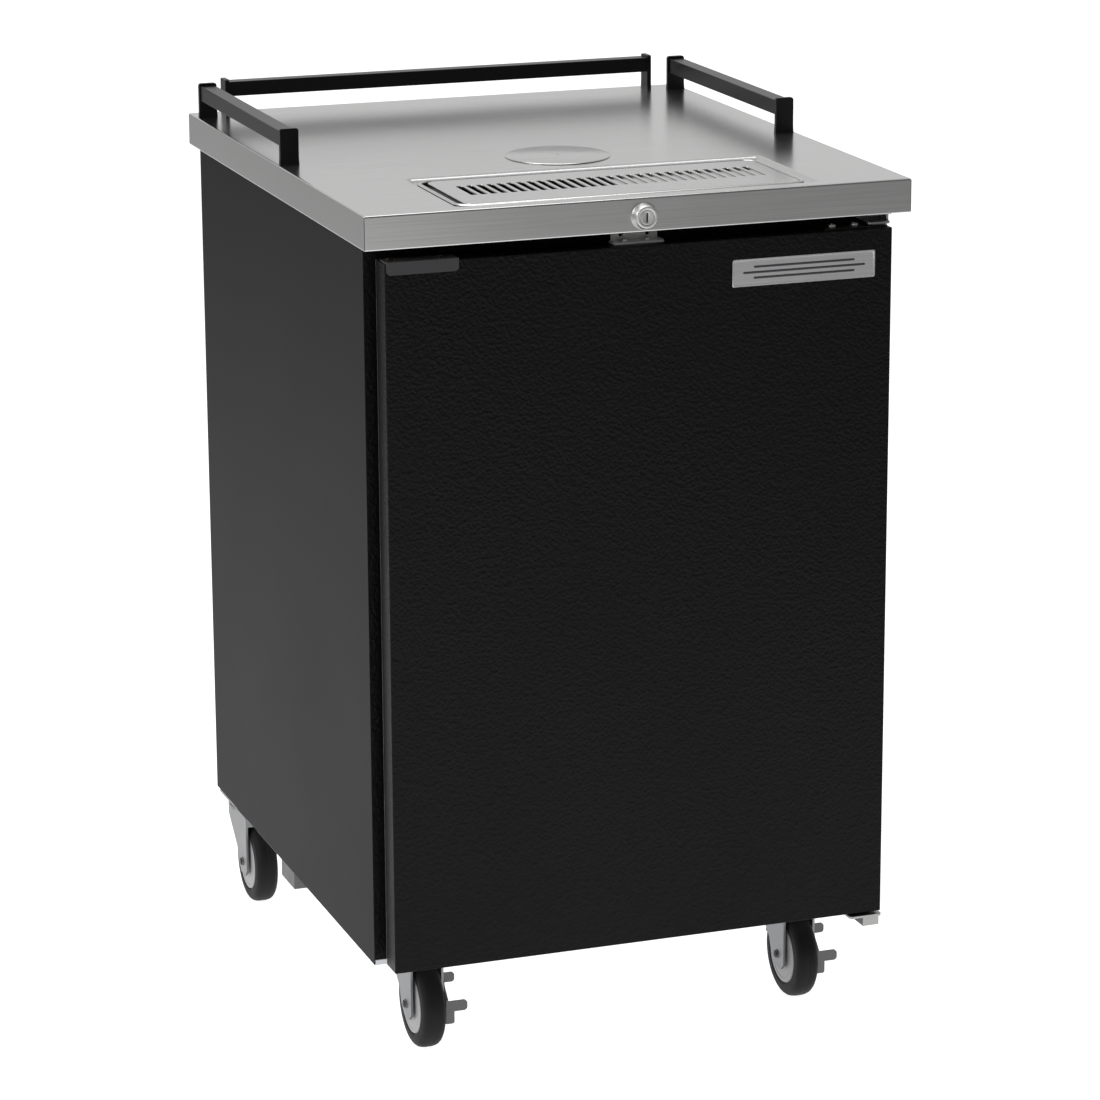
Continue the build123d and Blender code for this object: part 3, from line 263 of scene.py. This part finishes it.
def make_materials():
    steel = (0.60, 0.60, 0.595)
    return {
        "worktop_steel": brushed("worktop_steel", steel, 0.21, "X"),
        "black_satin": satin_paint("black_satin", grey(0.003), 0.30, spec=0.3),
        "side_paint": satin_paint("side_paint", grey(0.014), 0.5, spec=0.045),
        "door_paint": pebbled_paint("door_paint", grey(0.0025), 0.40, 300.0, 0.0007, spec=0.13),
        "galvanised": galvanised("galvanised"),
        "liner_steel": brushed("liner_steel", (0.66, 0.67, 0.68), 0.34, "Z"),
        "foam": foam("foam"),
        "board": board("board"),
        "seal_rubber": moulded("seal_rubber", grey(0.010), 0.6, spec=0.3, grain=500.0),
        "handle_plastic": moulded("handle_plastic", (0.032, 0.032, 0.035), 0.42),
        "badge_metal": brushed("badge_metal", (0.66, 0.66, 0.67), 0.24, "X"),
        "bright_metal": plated("bright_metal", (0.78, 0.78, 0.77), 0.16),
        "zinc": plated("zinc", (0.26, 0.262, 0.268), 0.44),
        "zinc_dark": plated("zinc_dark", (0.075, 0.075, 0.076), 0.45),
        "plug_metal": plated("plug_metal", (0.62, 0.62, 0.615), 0.42),
        "lock_nickel": plated("lock_nickel", (0.70, 0.70, 0.69), 0.40),
        # painted light: a light diffuse grey stands in for light on the shadowed zinc strike
        "strike_zinc_painted_light": moulded("strike_zinc_painted_light", (0.62, 0.62, 0.61), 0.35, spec=0.8),
        "bracket_zinc": plated("bracket_zinc", (0.40, 0.40, 0.395), 0.38),
        "dull_zinc": plated("dull_zinc", (0.15, 0.15, 0.15), 0.5),
        # painted shade: the drip pan's steel is made very dark so the grille's slots read dark
        "tray_steel_painted_shade": brushed("tray_steel_painted_shade", (0.12, 0.12, 0.119), 0.45, "X"),
        "hub_plastic": moulded("hub_plastic", (0.33, 0.33, 0.335), 0.45),
        "tyre_rubber": tyre_rubber("tyre_rubber"),
        "copper": plated("copper", (0.72, 0.36, 0.20), 0.3),
        "fin_aluminium": brushed("fin_aluminium", (0.74, 0.75, 0.76), 0.35, "Z"),
        "dark_enamel": satin_paint("dark_enamel", grey(0.008), 0.3),
        "fan_plastic": moulded("fan_plastic", (0.06, 0.06, 0.065), 0.5),
        "knob_plastic": moulded("knob_plastic", grey(0.012), 0.25),
        "white_plastic": moulded("white_plastic", (0.72, 0.72, 0.69), 0.4),
    }


def dress_frame(materials):
    """Gives every CAD node the material of its slot, or a variant where the piece differs; the strike's
    light grey is painted light, and the drip pan's dark steel is painted shade.
    """
    own = {
        # painted light: the strike gets a lighter diffuse grey in place of the light it lacks in shadow
        "door_strike": "strike_zinc_painted_light",
        # painted shade: the drip pan is dark so the slots of the grille read dark
        "drip_pan": "tray_steel_painted_shade",
        "condensate_tray": "dull_zinc",
        "hinge_brackets": "bracket_zinc",
        "caster_brake_front_left": "dull_zinc",
        "caster_brake_front_right": "dull_zinc",
    }
    for row in frame["record"]["subparts"]:
        name = row["node"]
        piece = nodes[name]
        piece.data.materials.clear()
        piece.data.materials.append(materials[own.get(name, row["material_slot"])])


# ---------------------------------------------------------------- mesh helpers
def around(centre, axis, radius, along, count):
    """A circle about an axis through centre, in millimetres."""
    points = []
    for i in range(count):
        turn = 2 * pi * i / count
        flat = (radius * cos(turn), radius * sin(turn))
        x, y, z = centre
        if axis == "X":
            points.append((x + along, y + flat[0], z + flat[1]))
        elif axis == "Y":
            points.append((x + flat[0], y + along, z + flat[1]))
        else:
            points.append((x + flat[0], y + flat[1], z + along))
    return points


def rounded(x0, x1, y0, y1, r, level, plane="XY", steps=5):
    """A rounded rectangle at a level; in the XZ plane its level is Y."""
    points = []
    corners = ((x1 - r, y1 - r, 0), (x0 + r, y1 - r, 1), (x0 + r, y0 + r, 2), (x1 - r, y0 + r, 3))
    for cx, cy, quarter in corners:
        for i in range(steps + 1):
            turn = (quarter + i / steps) * pi / 2
            u = cx + r * cos(turn)
            v = cy + r * sin(turn)
            points.append((u, v, level) if plane == "XY" else (u, level, v))
    return points


class Form:
    """A mesh made of rings of points, in millimetres."""

    def __init__(self):
        self.bm = bmesh.new()

    def ring(self, points):
        return [self.bm.verts.new([c * MM for c in point]) for point in points]

    def skin(self, *rings):
        for a, b in zip(rings, rings[1:]):
            for i in range(len(a)):
                j = (i + 1) % len(a)
                self.bm.faces.new((a[i], a[j], b[j], b[i]))

    def cap(self, ring):
        self.bm.faces.new(ring)

    def web(self, *rings):
        """Flat faces between an outer ring and the holes in it."""
        edges = []
        for ring in rings:
            for i, vert in enumerate(ring):
                pair = (vert, ring[(i + 1) % len(ring)])
                edges.append(self.bm.edges.get(pair) or self.bm.edges.new(pair))
        bmesh.ops.triangle_fill(self.bm, use_beauty=True, edges=edges)

    def lathe(self, profile, centre, axis, count=64, closed=False):
        """Turns (radius, along) points about an axis, and caps or joins the ends."""
        rings = [self.ring(around(centre, axis, r, along, count)) for r, along in profile]
        self.skin(*rings)
        if closed:
            self.skin(rings[-1], rings[0])
        else:
            self.cap(rings[0])
            self.cap(rings[-1])

    def finish(self, name, material, body, replaces=(), sharp=32.0):
        bmesh.ops.recalc_face_normals(self.bm, faces=self.bm.faces)
        mesh = bpy.data.meshes.new(name)
        self.bm.to_mesh(mesh)
        self.bm.free()
        mesh.polygons.foreach_set("use_smooth", [True] * len(mesh.polygons))
        mesh.set_sharp_from_angle(angle=radians(sharp))
        piece = bpy.data.objects.new(name, mesh)
        bpy.context.scene.collection.objects.link(piece)
        mesh.materials.append(material)
        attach(piece, body)
        if replaces:
            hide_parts(*replaces)
        return piece


# ---------------------------------------------------------------- worktop
def make_worktop_pieces(materials):
    """The folded pan with rolled edges, mitred corners and the soft-sided recess."""
    form = Form()
    apron = [
        (14, 914.7, 0.8), (14, 913.5, 0.8), (1.4, 913.5, 0.8), (0.8, 913.5, 0.8), (0.2, 913.7, 0.8),
        (0.0, 914.3, 0.8), (0.0, 914.9, 0.8), (0.0, 947.6, 0.8), (0.0, 948.2, 0.8), (0.3, 949.3, 1.0),
        (1.0, 949.9, 1.4), (1.8, TOP_Z, 2.0), (2.6, TOP_Z, 2.4),
    ]
    rims = []
    for inset, level, r in apron:
        outline = rounded(-HALF_W + inset, HALF_W - inset, FRONT_Y + inset, BACK_Y - inset, r, level)
        rims.append(form.ring(outline))
    form.skin(*rims)
    well = [
        (-3.8, TOP_Z, 7.4), (-3.0, TOP_Z, 7.0), (-1.4, 949.7, 6.0), (0.6, 948.4, 5.0), (2.2, 947.3, 4.0),
        (3.6, DISH_Z, 3.0), (4.4, DISH_Z, 3.0),
    ]
    dish = []
    for inset, level, r in well:
        dish.append(form.ring(rounded(-199 + inset, 205 - inset, -323 + inset, -153 - inset, r, level)))
    form.skin(*dish)
    tower = (0, TOWER_Y, TOP_Z)
    outside = form.ring(around(tower, "Z", 40.8, 0.0, 64))
    hole = form.ring(around(tower, "Z", 40, 0.0, 64))
    lip = form.ring(around(tower, "Z", 40, -1.2, 64))
    form.skin(outside, hole, lip)
    form.web(rims[-1], dish[0], outside)
    opening = form.ring(rounded(-192, 194.5, -312, -168.5, 15.0, DISH_Z, steps=8))
    form.web(dish[-1], opening)
    form.finish("worktop_shell", materials["worktop_steel"], "cabinet", ["worktop"])

    form = Form()
    bead = [
        (5.0, 947.1), (5.0, 947.8), (4.4, 948.3), (3.4, 949.2), (2.2, 949.5), (1.0, 949.2), (0.3, 948.4),
        (0.1, 947.1),
    ]
    rings = []
    for out, level in bead:
        outline = rounded(-191 - out, 193.5 + out, -311 - out, -169.5 + out, 14.0 + out, level, steps=8)
        rings.append(form.ring(outline))
    form.skin(*rings)
    form.skin(rings[-1], rings[0])
    form.finish("tray_rim_bead", materials["worktop_steel"], "cabinet")

    form = Form()
    seam = 0.6
    for y in (FRONT_Y, BACK_Y - seam):
        for x in (-HALF_W, HALF_W - seam):
            corners = ((x, y), (x + seam, y), (x + seam, y + seam), (x, y + seam))
            foot = form.ring([(u, v, 914.2) for u, v in corners])
            head = form.ring([(u, v, 948.4) for u, v in corners])
            form.skin(foot, head)
            form.cap(foot)
            form.cap(head)
    form.finish("mitre_seams", materials["zinc_dark"], "cabinet")


def make_grille_piece(materials):
    """The louvred plate: rolled slot edges and curved blades that lean away from the middle."""
    form = Form()
    face = 949.0
    count = 30
    pitch = 11.24
    half_slot = 3.7
    edge = [(0.9, 944.0), (0.2, 944.4), (0.0, 947.6), (0.3, 948.6), (1.2, face), (1.8, face)]
    rings = []
    for inset, level in edge:
        outline = rounded(-184 + inset, 192.5 - inset, -310 + inset, -170.5 - inset, 11.0, level, steps=8)
        rings.append(form.ring(outline))
    form.skin(*rings)
    slots = []
    for i in range(count):
        middle = 4.25 + (i - (count - 1) / 2) * pitch
        x0 = middle - half_slot
        x1 = middle + half_slot
        brim = form.ring(rounded(x0 - 0.3, x1 + 0.3, -262.3, -207.7, 1.8, face, steps=3))
        mouth = form.ring(rounded(x0, x1, -262, -208, 1.6, face, steps=3))
        lower = form.ring(rounded(x0 + 0.15, x1 - 0.15, -261.85, -208.15, 1.5, 948.7, steps=3))
        foot = form.ring(rounded(x0 + 0.15, x1 - 0.15, -261.85, -208.15, 1.5, 947.8, steps=3))
        form.skin(brim, mouth, lower, foot)
        slots.append(brim)
        leans_right = i < count / 2
        hand = 1 if leans_right else -1
        root = x0 if leans_right else x1
        curve = [(0.15, 948.3), (0.5, 947.0), (1.3, 945.7), (2.6, 944.7), (4.1, 944.1)]
        back = [(4.3, 943.7), (2.5, 944.2), (0.9, 945.2), (0.0, 946.7), (-0.3, 948.0)]
        front_end = form.ring([(root + hand * x, -261.2, z) for x, z in curve + back])
        rear_end = form.ring([(root + hand * x, -208.8, z) for x, z in curve + back])
        form.skin(front_end, rear_end)
        form.cap(front_end)
        form.cap(rear_end)
    form.web(rings[-1], *slots)
    form.finish("grille_plate", materials["worktop_steel"], "grille", ["drip_grille"])


def make_cover_piece(materials):
    """The disc over the tower hole, with a rolled edge, a pulling hole and a locating lip."""
    form = Form()
    profile = [
        (1.5, 951.5), (56.4, 951.5), (57.4, 951.2), (58.0, 950.7), (58.0, 950.3), (57.4, 950.05),
        (36.0, 950.05), (36.0, 942.0), (35.0, 942.0), (34.8, 950.3), (1.5, 950.5),
    ]
    form.lathe(profile, (0, TOWER_Y, 0), "Z", count=96, closed=True)
    form.finish("cover_disc", materials["worktop_steel"], "cover", ["tower_cover"])


# ---------------------------------------------------------------- lock and screws
def make_lock_pieces(materials):
    """The chamfered bezel with its barrel and nut, and the plug's face with an upright slot."""
    centre = (0, 0, LOCK_Z)
    form = Form()
    profile = [
        (8.05, -317.9), (8.05, -352.0), (8.2, -352.6), (8.6, -352.8), (11.0, -352.8), (11.5, -352.6),
        (12.0, -351.8), (12.5, -350.4), (13.3, -347.2), (14.1, -344.2), (14.5, -343.4), (14.5, -342.3),
        (9.5, -342.3), (9.5, -317.9),
    ]
    form.lathe(profile, centre, "Y", closed=True)
    nut = [(9.5, -341.6), (14.2, -341.6), (15.0, -340.9), (15.0, -337.6), (14.2, -336.9), (9.5, -336.9)]
    form.lathe(nut, centre, "Y", count=6, closed=True)
    form.finish("lock_bezel", materials["lock_nickel"], "cabinet", ["lock_barrel"])

    form = Form()
    wall = [(8.0, -317.9), (8.0, -352.3), (7.8, -352.7), (7.4, -352.8), (7.0, -352.8)]
    rings = [form.ring(around(centre, "Y", r, along, 48)) for r, along in wall]
    form.skin(*rings)
    form.cap(rings[0])
    slot = [(-0.2, -352.8), (0.0, -352.7), (0.05, -345.0)]
    holes = []
    for inset, y in slot:
        outline = rounded(-1.1 + inset, 1.1 - inset, 925.0 + inset, 935.0 - inset, 0.7, y, "XZ", 3)
        holes.append(form.ring(outline))
    form.skin(*holes)
    form.cap(holes[-1])
    form.web(rings[-1], holes[0])
    form.finish("lock_face", materials["plug_metal"], "lock", ["lock_plug"])


def screw(form, centre, up, d, h):
    """A pan head with a cross recess; up is +Z or +Y."""
    x, y, z = centre

    def at(u, v, height):
        return (x + u, y + v, z + height) if up == "Z" else (x + u, y + height, z + v)

    rings = []
    sides = 32
    for part, height in ((1.0, 0.0), (1.0, 0.35), (0.94, 0.68), (0.80, 0.90), (0.62, 1.0)):
        r = d / 2 * part
        points = []
        for i in range(sides):
            turn = 2 * pi * i / sides
            points.append(at(r * cos(turn), r * sin(turn), h * height))
        rings.append(form.ring(points))
    form.skin(*rings)
    form.cap(rings[0])
    a = d * 0.25
    b = d * 0.06
    plus = [
        (a, -b), (a, b), (b, b), (b, a), (-b, a), (-b, b),
        (-a, b), (-a, -b), (-b, -b), (-b, -a), (b, -a), (b, -b),
    ]
    mouth = form.ring([at(u, v, h) for u, v in plus])
    floor = form.ring([at(u * 0.8, v * 0.8, h * 0.45) for u, v in plus])
    form.skin(mouth, floor)
    form.cap(floor)
    form.web(rings[-1], mouth)


def make_screws(materials):
    form = Form()
    for x in (222.25, 248.25):
        screw(form, (x, -322, 900.0), "Z", 9.0, 2.4)
    for x in (-12.5, 12.5):
        screw(form, (x, -319.5, 900.5), "Z", 6.5, 2.2)
    form.finish("door_top_screws", materials["lock_nickel"], "door", ["door_screws"])
    form = Form()
    for x in (-274.75, -219.75):
        screw(form, (x, -331, 900.5), "Z", 8.0, 2.4)
    form.finish("handle_screws", materials["black_satin"], "door")
    form = Form()
    for x in (-281, 0, 281):
        for z in (141, 517.25, 893.5):
            screw(form, (x, 347, z), "Y", 8.0, 2.2)
    form.finish("back_screws", materials["bright_metal"], "cabinet", ["cabinet_screws"])


# ---------------------------------------------------------------- door
def make_gasket(materials):
    """The magnetic seal: a ribbed bellows with a flat front, round the door's edge."""
    form = Form()
    section = [
        (0.0, -312.0), (0.0, -309.6), (1.2, -308.6), (0.6, -306.6), (0.0, -304.4), (0.6, -301.8),
        (2.2, -300.6), (4.6, -300.4), (6.0, -301.1), (7.4, -300.4), (9.8, -300.6), (11.4, -301.8),
        (12.0, -304.4), (11.4, -306.6), (10.8, -308.6), (12.0, -309.6), (12.0, -312.0),
    ]
    half = 271.75
    rings = []
    for inset, y in section:
        outline = rounded(-half + inset, half - inset, 136.5 + inset, 886.5 - inset, 1.0, y, "XZ", 2)
        rings.append(form.ring(outline))
    form.skin(*rings)
    form.skin(rings[-1], rings[0])
    form.finish("gasket_bellows", materials["seal_rubber"], "door", ["door_gasket"])


def make_badge(materials):
    """A blank name plate: a raised border round a sunk field with three plain pinstripes."""
    form = Form()
    border = [(0.0, -343.0), (0.0, -343.7), (0.3, -344.0), (1.7, -344.0), (2.1, -343.55), (2.6, -343.55)]
    rings = []
    for inset, y in border:
        outline = rounded(99.75 + inset, 263.75 - inset, 846.5 + inset, 876.0 - inset, 2.2, y, "XZ")
        rings.append(form.ring(outline))
    form.skin(*rings)
    form.cap(rings[0])
    form.cap(rings[-1])
    form.finish("badge_plate", materials["badge_metal"], "door", ["door_badge"])
    form = Form()
    for z, x0, x1 in ((855.4, 124, 240), (861.25, 112, 252), (867.1, 124, 240)):
        low = form.ring(rounded(x0, x1, z - 1.2, z + 1.2, 1.1, -343.5, "XZ"))
        side = form.ring(rounded(x0, x1, z - 1.2, z + 1.2, 1.1, -343.75, "XZ"))
        top = form.ring(rounded(x0 + 0.3, x1 - 0.3, z - 0.9, z + 0.9, 0.8, -343.9, "XZ"))
        form.skin(low, side, top)
        form.cap(low)
        form.cap(top)
    form.finish("badge_pinstripes", materials["handle_plastic"], "door")


# ---------------------------------------------------------------- casters
def make_wheels(materials):
    """Turned hubs and tyres, and hexagonal nuts on the axle ends."""
    places = {
        "front_left": (-224, -208), "front_right": (218, -208),
        "rear_left": (-268, 304), "rear_right": (268, 304),
    }
    half_hub = [
        (4.1, 15.8), (9.4, 15.8), (10.0, 15.3), (10.0, 13.9), (10.8, 13.2), (12.4, 12.9), (14.0, 13.4),
        (14.6, 13.4), (26.0, 13.4), (26.6, 13.4), (27.2, 12.9), (28.6, 12.9), (29.2, 13.3), (32.0, 13.3),
        (33.3, 12.8), (34.0, 11.8),
    ]
    half_tyre = [
        (34.05, 11.4), (34.4, 12.6), (35.4, 13.3), (36.8, 13.5), (40.4, 13.5), (41.0, 13.25),
        (41.6, 13.45), (44.6, 12.8), (47.0, 11.3), (48.7, 9.2), (49.6, 6.4), (50.0, 3.0), (50.0, 0.5),
    ]
    for name, (x, y) in places.items():
        wheel = f"wheel_{name}"
        centre = (x, y - CASTER_TRAIL, WHEEL_Z)
        form = Form()
        mirror = [(r, -along) for r, along in reversed(half_hub)]
        form.lathe(half_hub + mirror, centre, "X", count=72, closed=True)
        form.finish(f"hub_{name}", materials["hub_plastic"], wheel, [f"caster_hub_{name}"])
        form = Form()
        mirror = [(r, -along) for r, along in reversed(half_tyre)]
        form.lathe(half_tyre + [(49.8, 0.0)] + mirror, centre, "X", count=96, closed=True)
        form.finish(f"tyre_{name}", materials["tyre_rubber"], wheel, [f"caster_tyre_{name}"])
        form = Form()
        for side in (-1, 1):
            profile = [(4.2, 20.55), (4.2, 21.4), (3.5, 21.9), (1.6, 21.9), (1.2, 21.3)]
            form.lathe([(r, side * along) for r, along in profile], centre, "X", count=6)
        form.finish(f"axle_nuts_{name}", materials["zinc_dark"], f"caster_{name}")


# ---------------------------------------------------------------- back and inside
def make_louvres(materials):
    """Pressed hoods over the slots of the back panel, open at the bottom."""
    form = Form()
    pitch = 22
    places = [(x, 181 + row * pitch, 65) for row in range(12) for x in (-165, 0, 165)]
    places += [(0, 853.5 - row * pitch, 100) for row in range(6)]
    along = 14
    round_steps = 5
    for x, z, half in places:
        grid = []
        for i in range(along + 1):
            u = -1 + 2 * i / along
            swell = (1 - abs(u) ** 6) ** 0.5
            column = []
            for j in range(round_steps + 1):
                turn = j / round_steps * pi / 2
                out = 347.05 + 5.2 * swell * sin(turn)
                height = z + 8.6 - 9.0 * (1 - cos(turn))
                column.append(form.bm.verts.new([(x + u * (half + 3)) * MM, out * MM, height * MM]))
            grid.append(column)
        for a, b in zip(grid, grid[1:]):
            for j in range(round_steps):
                form.bm.faces.new((a[j], b[j], b[j + 1], a[j + 1]))
    form.finish("back_louvres", materials["side_paint"], "cabinet")


def make_inside(materials):
    """A wire guard over the evaporator fan, and tick marks round the temperature knob."""
    form = Form()
    wire = 1.1
    sides = 8
    for hoop in (13.0, 22.0, 31.0, 40.5):
        circle = []
        for i in range(sides):
            turn = 2 * pi * i / sides
            circle.append((hoop + wire * cos(turn), 3.2 + wire * sin(turn)))
        form.lathe(circle, (0, 0, FAN_Z), "Y", count=48, closed=True)
    for i in range(4):
        turn = pi / 4 + pi / 2 * i
        ends = []
        for reach in (6.0, 42.0):
            ring = []
            for k in range(sides):
                small = 2 * pi * k / sides
                side = wire * cos(small)
                x = reach * cos(turn) - side * sin(turn)
                z = FAN_Z + reach * sin(turn) + side * cos(turn)
                ring.append((x, 1.6 + wire * sin(small), z))
            ends.append(form.ring(ring))
        form.skin(*ends)
        form.cap(ends[0])
        form.cap(ends[1])
    form.finish("fan_guard", materials["bright_metal"], "cabinet")
    form = Form()
    gaps = 8
    for i in range(gaps + 1):
        turn = radians(-60 + 300 * i / gaps)
        ring = []
        for reach, side in ((19.5, -0.6), (24.0, -0.6), (24.0, 0.6), (19.5, 0.6)):
            x = KNOB_X + reach * cos(turn) - side * sin(turn)
            z = FAN_Z + reach * sin(turn) + side * cos(turn)
            ring.append((x, z))
        low = form.ring([(x, 5.0, z) for x, z in ring])
        top = form.ring([(x, 4.6, z) for x, z in ring])
        form.skin(low, top)
        form.cap(top)
        form.cap(low)
    form.finish("knob_ticks", materials["handle_plastic"], "cabinet")


def soften_edges():
    """Small rounded edges on the plain sheet and bar pieces, so that they catch the light."""
    widths = {
        "rail_left": 0.9, "rail_right": 0.9, "rail_back": 0.9, "door_handle": 0.6, "door_strike": 0.35,
        "hinge_brackets": 0.35, "condensate_tray": 0.4, "base_pan": 0.4, "front_frame": 0.4,
        "evaporator_cover": 0.4, "floor_rack": 0.4, "lock_cam": 0.3,
    }
    for name, width in widths.items():
        piece = nodes[name]
        weld = piece.modifiers.new("weld", "WELD")
        weld.merge_threshold = 0.000005
        bevel = piece.modifiers.new("bevel", "BEVEL")
        bevel.width = width * MM
        bevel.segments = 2
        bevel.limit_method = "ANGLE"
        bevel.angle_limit = radians(40)
        bevel.harden_normals = True


# ---------------------------------------------------------------- light and floor
def make_light(name, place, target, size, power):
    data = bpy.data.lights.new(name, "AREA")
    data.shape = "RECTANGLE"
    data.size, data.size_y = size
    data.energy = power
    lamp = bpy.data.objects.new(name, data)
    lamp.location = place
    aim = Vector(target) - Vector(place)
    lamp.rotation_euler = aim.to_track_quat("-Z", "Y").to_euler()
    bpy.context.scene.collection.objects.link(lamp)


def floor_shader():
    """Pale paper that glows evenly where the object stands, and less in front of it and to its left."""
    shader = Shader("floor_pale", grey(0.5), 0.9, spec=0.1)
    across = shader.node("ShaderNodeVectorMath", operation="DOT_PRODUCT")
    across.inputs[1].default_value = (0.942, -0.335, 0.0)
    shader.link(shader.place(), across.inputs[0])
    ahead = shader.node("ShaderNodeVectorMath", operation="DOT_PRODUCT")
    ahead.inputs[1].default_value = (1.0, -0.5, 0.0)
    shader.link(shader.place(), ahead.inputs[0])
    left = shader.span(across.outputs["Value"], 0.12, 1.0, -2.3, -1.6)
    front = shader.span(ahead.outputs["Value"], 1.15, 0.05, 0.8, 3.3)
    both = shader.node("ShaderNodeMath", operation="MULTIPLY")
    shader.link(left, both.inputs[0])
    shader.link(front, both.inputs[1])
    shader.link(shader.span(both.outputs["Value"], 0.0, 0.95), shader.bsdf.inputs["Emission Strength"])
    shader.bsdf.inputs["Emission Color"].default_value = (1.0, 1.0, 1.0, 1.0)
    return shader.mat


def make_stage():
    """A glowing floor, a soft box to the left, one above, and a room that is brighter behind."""
    mesh = bpy.data.meshes.new("floor")
    reach = 40.0
    corners = [(-reach, -reach, 0), (reach, -reach, 0), (reach, reach, 0), (-reach, reach, 0)]
    mesh.from_pydata(corners, [], [(0, 1, 2, 3)])
    floor = bpy.data.objects.new("floor", mesh)
    bpy.context.scene.collection.objects.link(floor)
    mesh.materials.append(floor_shader())
    make_light("left_box", (-3.4, -1.2, 2.7), (0.0, 0.0, 0.9), (2.0, 2.0), 62.0)
    make_light("top_box", (-0.4, 0.2, 4.2), (0.0, 0.0, 0.0), (3.0, 3.0), 60.0)
    world = bpy.data.worlds.new("world")
    bpy.context.scene.world = world
    world.use_nodes = True
    tree = world.node_tree
    coord = tree.nodes.new("ShaderNodeTexCoord")
    split = tree.nodes.new("ShaderNodeSeparateXYZ")
    ramp = tree.nodes.new("ShaderNodeMapRange")
    ramp.inputs["From Min"].default_value = -0.6
    ramp.inputs["From Max"].default_value = 0.8
    ramp.inputs["To Min"].default_value = 0.15
    ramp.inputs["To Max"].default_value = 0.72
    tree.links.new(coord.outputs["Generated"], split.inputs["Vector"])
    tree.links.new(split.outputs["Y"], ramp.inputs["Value"])
    tree.links.new(ramp.outputs["Result"], tree.nodes["Background"].inputs["Color"])
    tree.nodes["Background"].inputs["Strength"].default_value = 1.0
    bpy.context.scene.view_settings.view_transform = "Standard"


def main():
    make_camera()
    make_stage()
    materials = make_materials()
    dress_frame(materials)
    make_worktop_pieces(materials)
    make_grille_piece(materials)
    make_cover_piece(materials)
    make_lock_pieces(materials)
    make_screws(materials)
    make_gasket(materials)
    make_badge(materials)
    make_wheels(materials)
    make_louvres(materials)
    make_inside(materials)
    soften_edges()


main()
